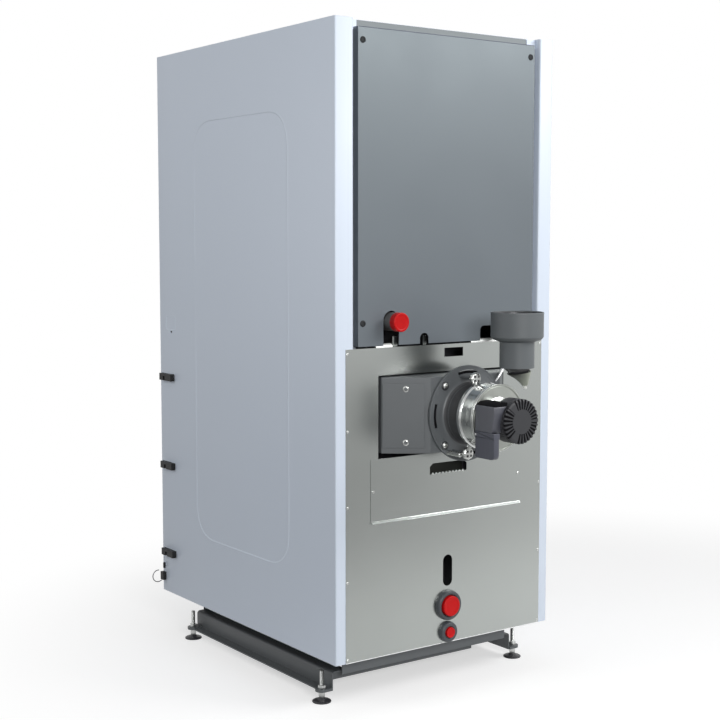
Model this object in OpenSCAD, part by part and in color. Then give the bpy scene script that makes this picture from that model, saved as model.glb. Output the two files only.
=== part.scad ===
// Pellet boiler on levelling feet: sheet-metal casing, base frame, and the rear flue and fan group.
// The front faces -Y, the rear with its connections faces +Y, and +Z is up.
// Every module is drawn in casing coordinates (x from the casing's middle, y from its rear plane,
// z from its lower edge), and place() moves it so that the origin is the bottom centre of the whole box.

/* [Casing] */
// Width over the two side panels
casing_w = 625; // [560:1:720]
// Depth from the front plane to the rear plane
casing_d = 815; // [760:1:1000]
// Height from the side panels' lower edge to the top
casing_h = 1400; // [1380:1:1500]
// Gap between the floor and the side panels' lower edge
floor_gap = 110; // [108:1:112]
// Thickness of the painted sheet
sheet_t = 2; // [1.5:0.1:3]

/* [Rear panels] */
// Upper edge of the bare metal lower panel
lower_panel_top = 694.4; // [688:0.1:696]
// Lower edge of the grey upper panel
upper_panel_bottom = 698.4; // [698:0.1:704]
// Width of the grey upper panel
upper_panel_w = 507; // [490:1:520]
// Width of the lower panel, which laps over the side panels' returns
lower_panel_w = 572; // [560:1:590]

/* [Flue and fan] */
// Height of the fan's axis above the casing's lower edge
fan_z = 542.7; // [535:0.1:550]
// Radius of the round fan flange
flange_r = 108; // [100:0.1:115]
// How far the front face of the flange stands behind the rear plane
flange_y = 69; // [64:1:80]
// Radius of the bright fan housing
housing_r = 75; // [70:0.5:80]
// How far the end of the motor stands behind the rear plane
motor_end_y = 250; // [248:1:265]
// Outer radius of the flue adapter's spigot
spigot_r = 38.2; // [38:0.1:42]
// Outer radius of the flue adapter's socket
socket_r = 58.2; // [58:0.1:62]
// Inner radius of that socket, which takes a 110 mm flue pipe
socket_bore_r = 55.5; // [50:0.5:56]

/* [Pipe stubs] */
// Radius of the flow pipe
flow_r = 20.5; // [18:0.1:21]
// Radius of the return pipe's cap
return_cap_r = 25; // [20:0.1:26]
// Radius of the drain pipe's cap
drain_cap_r = 12.7; // [10:0.1:14]

/* [Feet] */
// Distance of each foot from the casing's middle
foot_x = 287; // [280:1:290]
// Distance of the rear feet from the rear plane
foot_rear_y = 93.5; // [90:0.5:100]
// Distance of the front feet from the rear plane
foot_front_y = 697; // [680:1:700]
// Radius of the threaded rods
rod_r = 5; // [4:0.5:6]
// Radius of the foot discs
disc_r = 21.7; // [18:0.1:25]

/* [Hidden] */

white = [0.80, 0.84, 0.90];
panel_grey = [0.50, 0.52, 0.54];
bare_metal = [0.66, 0.68, 0.66];
anthracite = [0.30, 0.32, 0.34];
plastic_grey = [0.42, 0.44, 0.45];
black = [0.06, 0.06, 0.07];
chrome = [0.80, 0.81, 0.82];
cap_red = [0.82, 0.08, 0.08];

half_w = casing_w / 2;
eps = 0.01;
$fn = 64;

// height of the pressed outlines, which reach furthest on the left side
bead_rise = 0.8;

// hanger ring: the piece that reaches furthest on the right side
ring_wire = 2.4;
ring_r = 15.7;
ring_x = half_w + 19.4;
ring_y = -806;
ring_z = 40.2;
side_reach = ring_x + ring_r + ring_wire / 2;

shift = [(half_w + bead_rise - side_reach) / 2, (casing_d - motor_end_y) / 2, floor_gap];

module place(colour) {
    color(colour) translate(shift) children();
}

// points of an arc around (x, y), from angle a to angle b
function arc(x, y, r, a, b, n = 8) = [for (i = [0:n]) [x + r * cos(a + (b - a) * i / n), y + r * sin(a + (b - a) * i / n)]];

// points of a rectangle centred on the origin, with round corners
function round_rect(w, h, r, n = 8) = concat(
    arc(w / 2 - r, h / 2 - r, r, 0, 90, n), arc(r - w / 2, h / 2 - r, r, 90, 180, n),
    arc(r - w / 2, r - h / 2, r, 180, 270, n), arc(w / 2 - r, r - h / 2, r, 270, 360, n));

// a block between two corners
module block(a, b) {
    translate(a) cube(b - a);
}

// stands a drawing of the X-Z plane up at depth y, with thickness t towards +Y
module upright(y, t) {
    translate([0, y + t, 0]) rotate([90, 0, 0]) linear_extrude(t) children();
}

// a bar along Y from y0 to y1, round about (x, z)
module y_bar(x, z, r, y0, y1) {
    translate([x, y1, z]) rotate([90, 0, 0]) cylinder(r = r, h = y1 - y0);
}

// a turned shape about a Y axis through (x, z): profile points are [radius, y]
module y_turned(x, z, profile) {
    translate([x, 0, z]) rotate([90, 0, 0]) mirror([0, 0, 1]) rotate_extrude($fn = 96) polygon(profile);
}

/* ---- base frame ---- */
beam_top = -43;
beam_bottom = -85;
beam_t = 3;
beam_inner_x = 227;
beam_web_x = 267;
flange_out_x = 292;
beam_rear_y = -82;
beam_front_y = -712;
lug_r = 15;
lug_t = 6;
bend_r = 8;

// section of a beam: top flange inwards, web, bottom flange outwards
function beam_section() = concat(
    [[beam_inner_x, beam_top], [beam_inner_x, beam_top - beam_t]],
    arc(beam_web_x - bend_r, beam_top - bend_r, bend_r - beam_t, 90, 0, 5),
    [[beam_web_x - beam_t, beam_bottom], [flange_out_x, beam_bottom], [flange_out_x, beam_bottom + beam_t],
     [beam_web_x, beam_bottom + beam_t]],
    arc(beam_web_x - bend_r, beam_top - bend_r, bend_r, 0, 90, 5));

module foot_lug(y) {
    difference() {
        union() {
            translate([foot_x, y, beam_bottom]) cylinder(r = lug_r, h = lug_t);
            block([beam_web_x - eps, y - lug_r, beam_bottom], [foot_x, y + lug_r, beam_bottom + lug_t]);
        }
        translate([foot_x, y, beam_bottom - 1]) cylinder(r = rod_r + 0.5, h = lug_t + 2);
    }
}

module base_beam() {
    difference() {
        translate([0, beam_rear_y, 0]) rotate([90, 0, 0]) linear_extrude(beam_rear_y - beam_front_y)
            polygon(beam_section());
        for (y = [-foot_rear_y, -foot_front_y])
            translate([foot_x, y, beam_bottom - 1]) cylinder(r = lug_r - 1, h = lug_t);
    }
    for (y = [-foot_rear_y, -foot_front_y])
        foot_lug(y);
}

module base_beam_right() { place(anthracite) base_beam(); }
module base_beam_left() { place(anthracite) mirror([1, 0, 0]) base_beam(); }

channel_half = 243.6;
channel_bottom = -50.8;
channel_top = -5;
channel_web_y = -77;
skirt_rear_y = -120;
// the front channel mirrors the rear one about the base frame's middle
frame_mid_y = -397;
skirt_front_y = 2 * frame_mid_y - skirt_rear_y;

// folded cross member: web across the beams' ends, with a top flange towards the boiler body
module cross_channel() {
    block([-channel_half, channel_web_y, channel_bottom], [channel_half, channel_web_y + beam_t, channel_top]);
    block([-channel_half, skirt_rear_y, channel_top - beam_t], [channel_half, channel_web_y + 1, channel_top]);
}
module base_rear_channel() { place(anthracite) cross_channel(); }
module base_front_channel() {
    place(anthracite) translate([0, 2 * frame_mid_y, 0]) mirror([0, 1, 0]) cross_channel();
}

// flat bar under the beams' top flanges, which stops short of the left beam
module base_cross_rail() {
    place(anthracite) block([-164, -108, -70], [beam_web_x - bend_r, -105, beam_top - beam_t]);
}

/* ---- levelling feet ---- */
nut_across = 17;
nut_h = 8;
rod_z = [-104, -37];
stem_bottom = -103;
stem_r = 8.5;
module levelling_foot(x, y) {
    lug_top = beam_bottom + lug_t;
    place(chrome) translate([x, y, 0]) {
        // threaded rod, lock nut, stem that narrows to the ball joint
        translate([0, 0, rod_z[0]]) cylinder(r = rod_r, h = rod_z[1] - rod_z[0]);
        translate([0, 0, lug_top]) cylinder(r = nut_across / sqrt(3), h = nut_h, $fn = 6);
        translate([0, 0, stem_bottom]) cylinder(r1 = rod_r, r2 = stem_r, h = beam_bottom - stem_bottom);
        // pad
        rotate_extrude() polygon([[0, -floor_gap], [disc_r, -floor_gap], [disc_r, -107.2], [19, -105.5],
            [10, -103.5], [8, -101], [0, -101]]);
    }
}
module foot_rear_right() { levelling_foot(foot_x, -foot_rear_y); }
module foot_rear_left() { levelling_foot(-foot_x, -foot_rear_y); }
module foot_front_right() { levelling_foot(foot_x, -foot_front_y); }
module foot_front_left() { levelling_foot(-foot_x, -foot_front_y); }

/* ---- boiler body inside the casing ---- */
body_rear_y = -90;
body_front_y = 20 - casing_d;
body_bottom = 3;
bearer_x = 240;
module boiler_body() {
    place(black) {
        block([sheet_t - half_w, body_front_y, body_bottom], [half_w - sheet_t, body_rear_y, casing_h - 3]);
        // base that stands on the beams between the two channels
        block([-bearer_x, skirt_front_y, beam_top], [bearer_x, skirt_rear_y, body_bottom + eps]);
    }
}

/* ---- painted casing ---- */
return_x = 264.5;
// the left panel's return is narrower
left_return_x = 272.4;
fold_r = 5;
// depth at which the rear returns end and the top cover's rear lip begins
lip_y = -19;

// section of a side panel: flat side, front return and rear return, whose free edge turns inwards
function side_section(fold_x) = concat(
    arc(half_w - 3, -3, 3, 0, 90, 5),
    arc(fold_x + fold_r, -fold_r, fold_r, 90, 180, 5),
    [[fold_x, lip_y], [fold_x + sheet_t, lip_y]],
    arc(fold_x + fold_r, -fold_r, fold_r - sheet_t, 180, 90, 5),
    [[half_w - sheet_t, -sheet_t], [half_w - sheet_t, sheet_t - casing_d],
     [half_w - 18, sheet_t - casing_d], [half_w - 18, -casing_d]],
    arc(half_w - 3, 3 - casing_d, 3, 270, 360, 5));

// pressed outlines on a side panel
bead_y = [-624, -186];
bead_z = [177, 1223];
bead_r = 90;
bead_w = 5;
knockout_y = [-780, -730];
knockout_z = [697, 735];

module outline_strip(y_span, z_span, r, w) {
    wide = y_span[1] - y_span[0];
    high = z_span[1] - z_span[0];
    translate([half_w - 0.5, (y_span[0] + y_span[1]) / 2, (z_span[0] + z_span[1]) / 2])
        rotate([90, 0, 90]) linear_extrude(0.5 + bead_rise) difference() {
            polygon(round_rect(wide, high, r, 12));
            polygon(round_rect(wide - 2 * w, high - 2 * w, r - w, 12));
        }
}

module side_panel(fold_x) {
    difference() {
        linear_extrude(casing_h) polygon(side_section(fold_x));
        // slot at the foot of the knock-out
        block([half_w - 5, -759, 690], [half_w + 1, -748, 695]);
    }
    outline_strip(bead_y, bead_z, bead_r, bead_w);
    outline_strip(knockout_y, knockout_z, 4, 2);
}
module side_panel_right() { place(white) side_panel(return_x); }
module side_panel_left() { place(white) mirror([1, 0, 0]) side_panel(left_return_x); }

module top_cover() {
    inner = half_w - sheet_t;
    place(white) {
        block([-inner, sheet_t - casing_d, casing_h - 3], [inner, lip_y, casing_h - 0.5]);
        // rear lip behind the grey panel
        block([-245, lip_y - sheet_t, 1340], [245, lip_y, casing_h - 3 + eps]);
    }
}

front_split = 695;
module front_panel(z0, z1) {
    inner = half_w - 18.5;
    place(white) {
        block([-inner, -casing_d, z0], [inner, sheet_t - casing_d, z1]);
        for (s = [-1, 1])
            block([s * (inner - 1) - 1, 1 - casing_d, z0], [s * (inner - 1) + 1, body_front_y, z1]);
    }
}
module front_upper_panel() { front_panel(front_split + 2, casing_h - 4); }
module front_lower_panel() { front_panel(4, front_split - 2); }

/* ---- rear panels ---- */
flow_x = 164;
flow_z = 751;
flow_notch_r = 21.3;
flow_notch_top = 774.7;
small_notch_x = 71.4;
small_notch_r = 12.15;
small_notch_top = 722.3;
adapter_notch = [-201, -93];
adapter_notch_top = 732.4;
notch_corner_r = 10;
upper_panel_top = casing_h - 17;
upper_panel_y = [0.2, 1.7];

module arched_notch(x, r, top) {
    upright(-30, 60) {
        translate([x, top - r]) circle(r = r);
        translate([x - r, upper_panel_bottom - 1]) square([2 * r, top - r - upper_panel_bottom + 1]);
    }
}

module rear_upper_panel() {
    half = upper_panel_w / 2;
    t = upper_panel_y[1] - upper_panel_y[0];
    corner_z = adapter_notch_top - notch_corner_r;
    place(panel_grey) difference() {
        union() {
            block([-half, upper_panel_y[0], upper_panel_bottom], [half, upper_panel_y[1], upper_panel_top]);
            for (x = [-half, half - t])
                block([x, -16, upper_panel_bottom], [x + t, upper_panel_y[0] + eps, upper_panel_top]);
            // top fold, which hooks over to the casing's lip
            block([-half, lip_y, upper_panel_top - t], [half, upper_panel_y[0] + eps, upper_panel_top]);
        }
        arched_notch(flow_x, flow_notch_r, flow_notch_top);
        arched_notch(small_notch_x, small_notch_r, small_notch_top);
        upright(-30, 60) polygon(concat(
            [[adapter_notch[0], upper_panel_bottom - 1], [adapter_notch[1], upper_panel_bottom - 1]],
            arc(adapter_notch[1] - notch_corner_r, corner_z, notch_corner_r, 0, 90, 6),
            arc(adapter_notch[0] + notch_corner_r, corner_z, notch_corner_r, 90, 180, 6)));
    }
}

panel_t = 1.2;
flue_opening_x = [-165.6, 199];
flue_opening_z = [325, 633];
return_z = 89;
drain_z = 26;
slot_r = 13.5;
slot_z = [134, 207];
handle_half = 54;
handle_z = [399, 424];
// stretches of the top edge that are bent inwards: x range and depth of each
top_tabs = [[160, 205, -55], [-240, -66, -85]];
tab_bend_r = 8.5;
// hooks behind the grey panel
hook_x = [[57.6, 67.3], [139.5, 152.6]];
hook_y = -10;
hook_top = 717;

// section of a bent stretch, in depth and height: up the face, round the bend and inwards
function tab_section(depth) = let (y = panel_t - tab_bend_r, z = lower_panel_top - 0.4) concat(
    [[panel_t, z - 6]], arc(y, z, tab_bend_r, 0, 90), [[depth, z + tab_bend_r]],
    [[depth, z + tab_bend_r - panel_t]], arc(y, z, tab_bend_r - panel_t, 90, 0), [[0, z - 6]]);

module rear_lower_panel() {
    half = lower_panel_w / 2;
    top = lower_panel_top;
    place(bare_metal) {
        difference() {
            block([-half, 0, 0], [half, panel_t, top]);
            block([flue_opening_x[0], -5, flue_opening_z[0]], [flue_opening_x[1], 5, flue_opening_z[1]]);
            // inspection slot near the top edge
            block([-42, -5, 665.5], [12.8, 5, 686]);
            // upright round-ended slot
            for (z = [slot_z[0] + slot_r, slot_z[1] - slot_r])
                y_bar(0, z, slot_r, -5, 5);
            block([-slot_r, -5, slot_z[0] + slot_r], [slot_r, 5, slot_z[1] - slot_r]);
            y_bar(0, return_z, 30, -5, 5);
            y_bar(0, drain_z, 18, -5, 5);
        }
        for (tab = top_tabs)
            translate([tab[0], 0, 0]) rotate([90, 0, 90]) linear_extrude(tab[1] - tab[0])
                polygon(tab_section(tab[2]));
        for (x = hook_x) {
            block([x[0], hook_y, top - panel_t], [x[1], eps, top]);
            block([x[0], hook_y, top - panel_t], [x[1], hook_y + panel_t, hook_top]);
        }
    }
}

cover_half = 220;
cover_z = [308, 448.5];
drip = 4;
module rear_access_cover() {
    place(bare_metal) {
        difference() {
            block([-cover_half, panel_t, cover_z[0]], [cover_half, 2 * panel_t, cover_z[1]]);
            upright(-5, 20) polygon([[-handle_half, handle_z[0]], [handle_half, handle_z[0]],
                [handle_half, handle_z[1] - 7], [handle_half - 9, handle_z[1]],
                [9 - handle_half, handle_z[1]], [-handle_half, handle_z[1] - 7]]);
        }
        // drip edge along the foot of the cover
        translate([-cover_half, 0, cover_z[0]]) rotate([90, 0, 90]) linear_extrude(2 * cover_half)
            polygon([[panel_t, 0], [panel_t + drip, -drip], [2 * panel_t + drip, -drip], [2 * panel_t, panel_t]]);
    }
}

// closed cup behind the hand hole
module access_handle() {
    cup_back = -16;
    w = handle_half + 4;
    place(black) difference() {
        block([-w, cup_back, handle_z[0] - 5], [w, panel_t, handle_z[1] + 5]);
        block([-w + 2, cup_back + 2, handle_z[0] - 3], [w - 2, panel_t + 1, handle_z[1] + 3]);
    }
}

/* ---- flue box and fan ---- */
box_z = [459, 629];
box_side_x = 190;
box_front_x = 101;
box_right_x = -165;
box_front_y = flange_y - 6;

module flue_box() {
    place(anthracite) translate([0, 0, box_z[0]]) linear_extrude(box_z[1] - box_z[0])
        polygon([[box_side_x, body_rear_y], [box_side_x, 0], [box_front_x, box_front_y],
            [-box_front_x, box_front_y], [box_right_x, 0], [box_right_x, body_rear_y]]);
}

// plate screwed on the slanted left face of the flue box
cover_plate_z = [472, 614.5];
module flue_box_cover() {
    run = [box_front_x - box_side_x, box_front_y];
    long = norm(run);
    place(anthracite) translate([box_side_x, 0, 0]) rotate([0, 0, atan2(run[1], run[0])])
        block([2, -1.5, cover_plate_z[0]], [long - 13, 0, cover_plate_z[1]]);
}

slot_arc_r = [90.3, 96.7];
slot_arc = 33;
neck_r = 66;
neck_fillet = 6;
housing_y = [119, 174];
module fan_flange() {
    place(anthracite) difference() {
        y_turned(0, fan_z, concat([[0, box_front_y], [flange_r, box_front_y], [flange_r, flange_y]],
            [for (a = [270:-15:180])
                [neck_r + neck_fillet * (1 + cos(a)), flange_y + neck_fillet * (1 + sin(a))]],
            [[neck_r, housing_y[0]], [0, housing_y[0]]]));
        for (a = [0:90:270])
            translate([0, 0, fan_z]) rotate([90, 0, 0]) translate([0, 0, -flange_y - 1])
                rotate([0, 0, a - slot_arc / 2]) rotate_extrude(angle = slot_arc)
                    translate([slot_arc_r[0], 0]) square([slot_arc_r[1] - slot_arc_r[0], 8]);
    }
}

// drum with a bead at its back and a raised rim at its front
plate_y = [166, 172];
rim_inner_r = housing_r - 4.5;
module fan_housing() {
    y0 = housing_y[0];
    y1 = housing_y[1];
    r = housing_r;
    place(chrome) y_turned(0, fan_z, [[0, y0], [r - 1, y0], [r, y0 + 1], [r, y0 + 10], [r - 1, y0 + 11],
        [r - 2.2, y0 + 12], [r - 2.2, y1 - 5], [r - 0.6, y1 - 4], [r - 0.6, y1 - 1], [r - 1.6, y1],
        [rim_inner_r, y1], [rim_inner_r, plate_y[0]], [0, plate_y[0]]]);
}

module fan_front_plate() {
    r = rim_inner_r;
    place(bare_metal) y_turned(0, fan_z, [[0, plate_y[0]], [r, plate_y[0]], [r, plate_y[1]],
        [r - 8, plate_y[1]], [r - 9, plate_y[1] + 1], [r - 11, plate_y[1] + 1], [r - 12, plate_y[1]], [0, plate_y[1]]]);
}

// clamp: a lobed screw on a small lug at the housing's back rim, at an angle from the top
module fan_clamp(angle, d) {
    translate([d * sin(angle), 0, fan_z + d * cos(angle)]) {
        y_bar(0, 0, 4, flange_y - 1, 117);
        y_bar(0, 0, 14, 116, 126);
    }
    translate([0, 0, fan_z]) rotate([0, angle, 0])
        block([-6, 112, neck_r - 1], [6, 117, d]);
}
module fan_clamp_top() { place(chrome) fan_clamp(14.5, 86); }
module fan_clamp_bottom() { place(chrome) fan_clamp(153, 91); }

// bright neck, then the motor's body, then its end cap
motor_neck_r = 44;
motor_y = [205, 238];
motor_r = 48.6;
cap_r = 49;
cap_disc_r = 25;
module fan_motor() {
    place(black) y_turned(0, fan_z, [[0, plate_y[1]], [motor_neck_r, plate_y[1]], [motor_neck_r, motor_y[0]],
        [motor_r, motor_y[0] + 2], [motor_r, motor_y[1]], [0, motor_y[1]]]);
}
module motor_end_cap() {
    end = motor_end_y;
    place(black) y_turned(0, fan_z, [[0, motor_y[1]], [motor_r, motor_y[1]], [cap_r, end - 4], [cap_r, end - 2.5],
        [cap_r - 2, end - 0.8], [cap_disc_r, end], [0, end]]);
}

// box on the motor's left side; its front face leans back towards the foot
terminal_x = [30, 69];
terminal_y = [176, 238];
terminal_z = [521, 577];
terminal_lean = 6;
module motor_terminal_box() {
    y0 = terminal_y[0];
    y1 = terminal_y[1];
    place(black) difference() {
        translate([terminal_x[0], 0, 0]) rotate([90, 0, 90]) linear_extrude(terminal_x[1] - terminal_x[0])
            polygon([[y0, terminal_z[0]], [y1 - terminal_lean, terminal_z[0]], [y1, terminal_z[1] - 8],
                [y1, terminal_z[1]], [y0, terminal_z[1]]]);
        y_bar(0, fan_z, motor_r, y0 - 10, y1 + 10);
    }
}

// plug housing under that box, with bevelled lower corners
connector_x = [53.4, 71];
connector_y = [177, 239];
connector_bottom = 463.5;
connector_bevel = 9;
module motor_connector_box() {
    y0 = connector_y[0];
    y1 = connector_y[1];
    top = terminal_z[0];
    place(black) translate([connector_x[0], 0, 0]) rotate([90, 0, 90])
        linear_extrude(connector_x[1] - connector_x[0]) polygon(concat(
            [[y0, top]], arc(y0 + 4, connector_bottom + 4, 4, 180, 270, 3),
            arc(y1 - connector_bevel, connector_bottom + connector_bevel, connector_bevel, 270, 360, 4),
            [[y1, top]]));
}

/* ---- flue adapter ---- */
adapter_x = -51.5;
adapter_y = 174;
spigot_z = [650.5, 703];
spigot_bore_r = spigot_r - 2.2;
socket_z = [716.5, 773];
module flue_adapter() {
    place(plastic_grey) translate([adapter_x, adapter_y, 0]) rotate_extrude($fn = 96) polygon(concat(
        [[spigot_bore_r, spigot_z[0]], [spigot_r, spigot_z[0]]],
        [for (a = [180:-15:90]) [spigot_r + 10 + 10 * cos(a), spigot_z[1] - 2 + 10 * sin(a)]],
        [[socket_r - 2, socket_z[0] - 2], [socket_r, socket_z[0]], [socket_r, socket_z[1]],
         [socket_bore_r, socket_z[1]], [socket_bore_r, socket_z[0] + 1], [spigot_bore_r, socket_z[0] - 3]]));
}

// drain spout: a plug in the spigot, then a tilted funnel that narrows to a nozzle set off to one side
plug_r = 23;
funnel_x = -58.5;
funnel_z = 640;
funnel_r = 26.5;
funnel_tilt = 7;
nozzle_x = -75.5;
nozzle_z = [603, 611];
nozzle_r = 7.5;
module adapter_cone() {
    place(plastic_grey) {
        translate([adapter_x, adapter_y, spigot_z[0]]) cylinder(r = spigot_bore_r, h = 12, $fn = 96);
        // narrower part of the plug, down into the funnel
        translate([adapter_x - 4, adapter_y, funnel_z - 4]) cylinder(r = plug_r, h = spigot_z[0] - funnel_z + 5);
        hull() {
            translate([funnel_x, adapter_y, funnel_z]) rotate([0, funnel_tilt, 0])
                cylinder(r = funnel_r, h = 2, center = true, $fn = 32);
            translate([nozzle_x, adapter_y, nozzle_z[1]]) cylinder(r = nozzle_r, h = 1, $fn = 32);
        }
        translate([nozzle_x, adapter_y, nozzle_z[0]]) cylinder(r = nozzle_r - 3, h = nozzle_z[1] - nozzle_z[0] + 1);
    }
}

// arm that carries the adapter's socket: a rail inside the casing, a bar out through the notch, and a pad
arm_x = [-151, -134];
arm_z = [716, 728];
arm_end_y = 148;
pad_depth = 12;
pad_x = adapter_x - 40;
rail_x = -250;
rail_y = [-8, -3];
rail_bottom = 705;
module adapter_bracket() {
    place(anthracite) difference() {
        union() {
            block([rail_x, rail_y[0], rail_bottom], [arm_x[1], rail_y[1], arm_z[1]]);
            block([arm_x[0], rail_y[0] + eps, arm_z[0]], [arm_x[1], arm_end_y, arm_z[1]]);
            block([arm_x[0], arm_end_y - pad_depth, arm_z[0] + eps], [pad_x, arm_end_y - eps, arm_z[1] - eps]);
        }
        translate([adapter_x, adapter_y, arm_z[0] - 10]) cylinder(r = socket_r, h = 40, $fn = 96);
    }
}

/* ---- pipe stubs ---- */
module flow_pipe() {
    place(chrome) y_bar(flow_x, flow_z, flow_r, body_rear_y, 24);
}
module pipe_cap(x, z, r, y0, y1) {
    place(cap_red) y_turned(x, z, [[0, y0], [r, y0], [r, y1 - 1.5], [r - 1.5, y1], [0, y1]]);
}
module flow_cap() { pipe_cap(flow_x, flow_z, flow_r + 0.7, 24, 40); }

// rubber ring with a half-round section, seated on the panel
module grommet(z, r_out, r_in, y1) {
    mid = (r_out + r_in) / 2;
    rad = (r_out - r_in) / 2;
    place(anthracite) y_turned(0, z, concat([[r_in, panel_t], [r_out, panel_t]],
        [for (a = [0:15:180]) [mid + rad * cos(a), y1 - rad + rad * sin(a)]]));
}
module return_grommet() { grommet(return_z, 35, return_cap_r, 13); }
module return_cap() { pipe_cap(0, return_z, return_cap_r, body_rear_y, 19); }
module drain_grommet() { grommet(drain_z, 24.5, drain_cap_r, 12); }
module drain_cap() { pipe_cap(0, drain_z, drain_cap_r, body_rear_y, 16); }

/* ---- fittings on the right side panel ---- */
clip_pitch = 233;
module cable_clip(z) {
    place(black) translate([half_w, -800, z - 9]) difference() {
        block([0, 0, 0], [12, 62, 18]);
        block([8, 20, -1], [13, 30, 11]);
    }
}
module cable_clip_upper() { cable_clip(574); }
module cable_clip_middle() { cable_clip(574 - clip_pitch); }
module cable_clip_lower() { cable_clip(574 - 2 * clip_pitch); }

// eye block, bored along the ring's own curve
module ring_bracket() {
    place(black) difference() {
        block([half_w, -813, 29], [half_w + 9, -797, 50]);
        translate([ring_x, ring_y, ring_z]) rotate([90, 0, 0]) rotate_extrude()
            translate([ring_r, 0]) circle(d = ring_wire, $fn = 16);
    }
}

// open ring of round wire; its gap faces up and towards the panel
ring_gap = [95, 150];
module hanger_ring() {
    place(chrome) translate([ring_x, ring_y, ring_z]) rotate([90, 0, 0]) rotate([0, 0, ring_gap[1]])
        rotate_extrude(angle = 360 - ring_gap[1] + ring_gap[0]) translate([ring_r, 0]) circle(d = ring_wire, $fn = 16);
}
module side_pin() {
    place(black) block([half_w, -806, 60], [half_w + 5, -801, 75]);
}

base_beam_right();
base_beam_left();
base_rear_channel();
base_front_channel();
base_cross_rail();
foot_rear_right();
foot_rear_left();
foot_front_right();
foot_front_left();
boiler_body();
side_panel_right();
side_panel_left();
top_cover();
rear_upper_panel();
rear_lower_panel();
rear_access_cover();
access_handle();
front_upper_panel();
front_lower_panel();
flue_box();
flue_box_cover();
fan_flange();
fan_housing();
fan_front_plate();
fan_clamp_top();
fan_clamp_bottom();
fan_motor();
motor_end_cap();
motor_terminal_box();
motor_connector_box();
flue_adapter();
adapter_cone();
adapter_bracket();
flow_pipe();
flow_cap();
return_grommet();
return_cap();
drain_grommet();
drain_cap();
cable_clip_upper();
cable_clip_middle();
cable_clip_lower();
ring_bracket();
hanger_ring();
side_pin();
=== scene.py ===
"""Pellet boiler on levelling feet: sheets, castings, fan, pipe stubs, finishes and studio.

Every shape is worked out in casing millimetres: x from the casing's middle towards its right side,
y from the rear plane outwards, z from the casing's lower edge. add_piece() turns them into metres.
"""

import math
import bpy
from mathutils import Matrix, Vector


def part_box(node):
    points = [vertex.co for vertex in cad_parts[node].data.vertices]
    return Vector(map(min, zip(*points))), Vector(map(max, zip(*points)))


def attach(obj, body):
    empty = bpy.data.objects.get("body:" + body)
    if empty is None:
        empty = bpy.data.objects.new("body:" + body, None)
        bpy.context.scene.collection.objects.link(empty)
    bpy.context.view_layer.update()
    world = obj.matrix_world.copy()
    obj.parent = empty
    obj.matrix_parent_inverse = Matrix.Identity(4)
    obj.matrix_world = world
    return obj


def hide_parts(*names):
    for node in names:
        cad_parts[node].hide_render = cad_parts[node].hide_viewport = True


bl_info = {
    "name": "Pellet boiler",
    "version": (1, 0, 0),
    "blender": (4, 5, 0),
    "location": "3D View > Sidebar > Boiler",
    "description": "Builds a pellet boiler's sheets, castings, fan and finishes around its solid model",
    "category": "Object",
}

import bmesh
import bpy
import numpy as np
from bpy.props import FloatProperty, FloatVectorProperty, IntProperty, PointerProperty

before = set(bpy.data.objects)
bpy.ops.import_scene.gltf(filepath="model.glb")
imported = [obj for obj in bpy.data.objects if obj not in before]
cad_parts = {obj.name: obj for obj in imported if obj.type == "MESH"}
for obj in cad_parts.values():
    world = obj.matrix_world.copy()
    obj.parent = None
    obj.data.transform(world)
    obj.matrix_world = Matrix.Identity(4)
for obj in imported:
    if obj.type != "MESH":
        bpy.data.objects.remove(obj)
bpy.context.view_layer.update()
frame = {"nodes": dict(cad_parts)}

MM = 0.001
REARWARDS = (0, 1, 0)


def casing_origin():
    """Middle of the top cover across, rear plane of the side panels, and their lower edge, in metres."""
    cover_lo, cover_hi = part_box("top_cover")
    side_lo, side_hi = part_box("side_panel_right")
    return np.array([(cover_lo.x + cover_hi.x) / 2, side_hi.y, side_lo.z])


ORIGIN = casing_origin()


def span(node):
    """Lowest and highest corner of a solid in casing millimetres."""
    lo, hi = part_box(node)
    return (np.array(lo) - ORIGIN) / MM, (np.array(hi) - ORIGIN) / MM


def middle(node):
    """Middle of a solid's box in casing millimetres."""
    lo, hi = span(node)
    return (lo + hi) / 2


def axis_foot(node, axis):
    """Where the line through a solid's middle along the named axis meets that axis's zero plane."""
    foot = middle(node)
    foot["xyz".index(axis)] = 0
    return foot


# ---------------------------------------------------------------- sizes and colours


def length(name, description, default, low=0.0, high=1.0):
    """Property in metres."""
    return FloatProperty(
        name=name, description=description, default=default, min=low, max=high,
        unit="LENGTH", subtype="DISTANCE", precision=5,
    )


def number(name, description, default, low, high):
    """Property that counts something."""
    return IntProperty(name=name, description=description, default=default, min=low, max=high)


def power(name, description, default):
    """Property in watts."""
    return FloatProperty(name=name, description=description, default=default, min=0.0, unit="POWER")


def colour(name, description, default):
    """Property that holds a linear colour."""
    return FloatVectorProperty(
        name=name, description=description, default=default, size=3, min=0.0, max=1.0, subtype="COLOR",
    )


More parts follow.
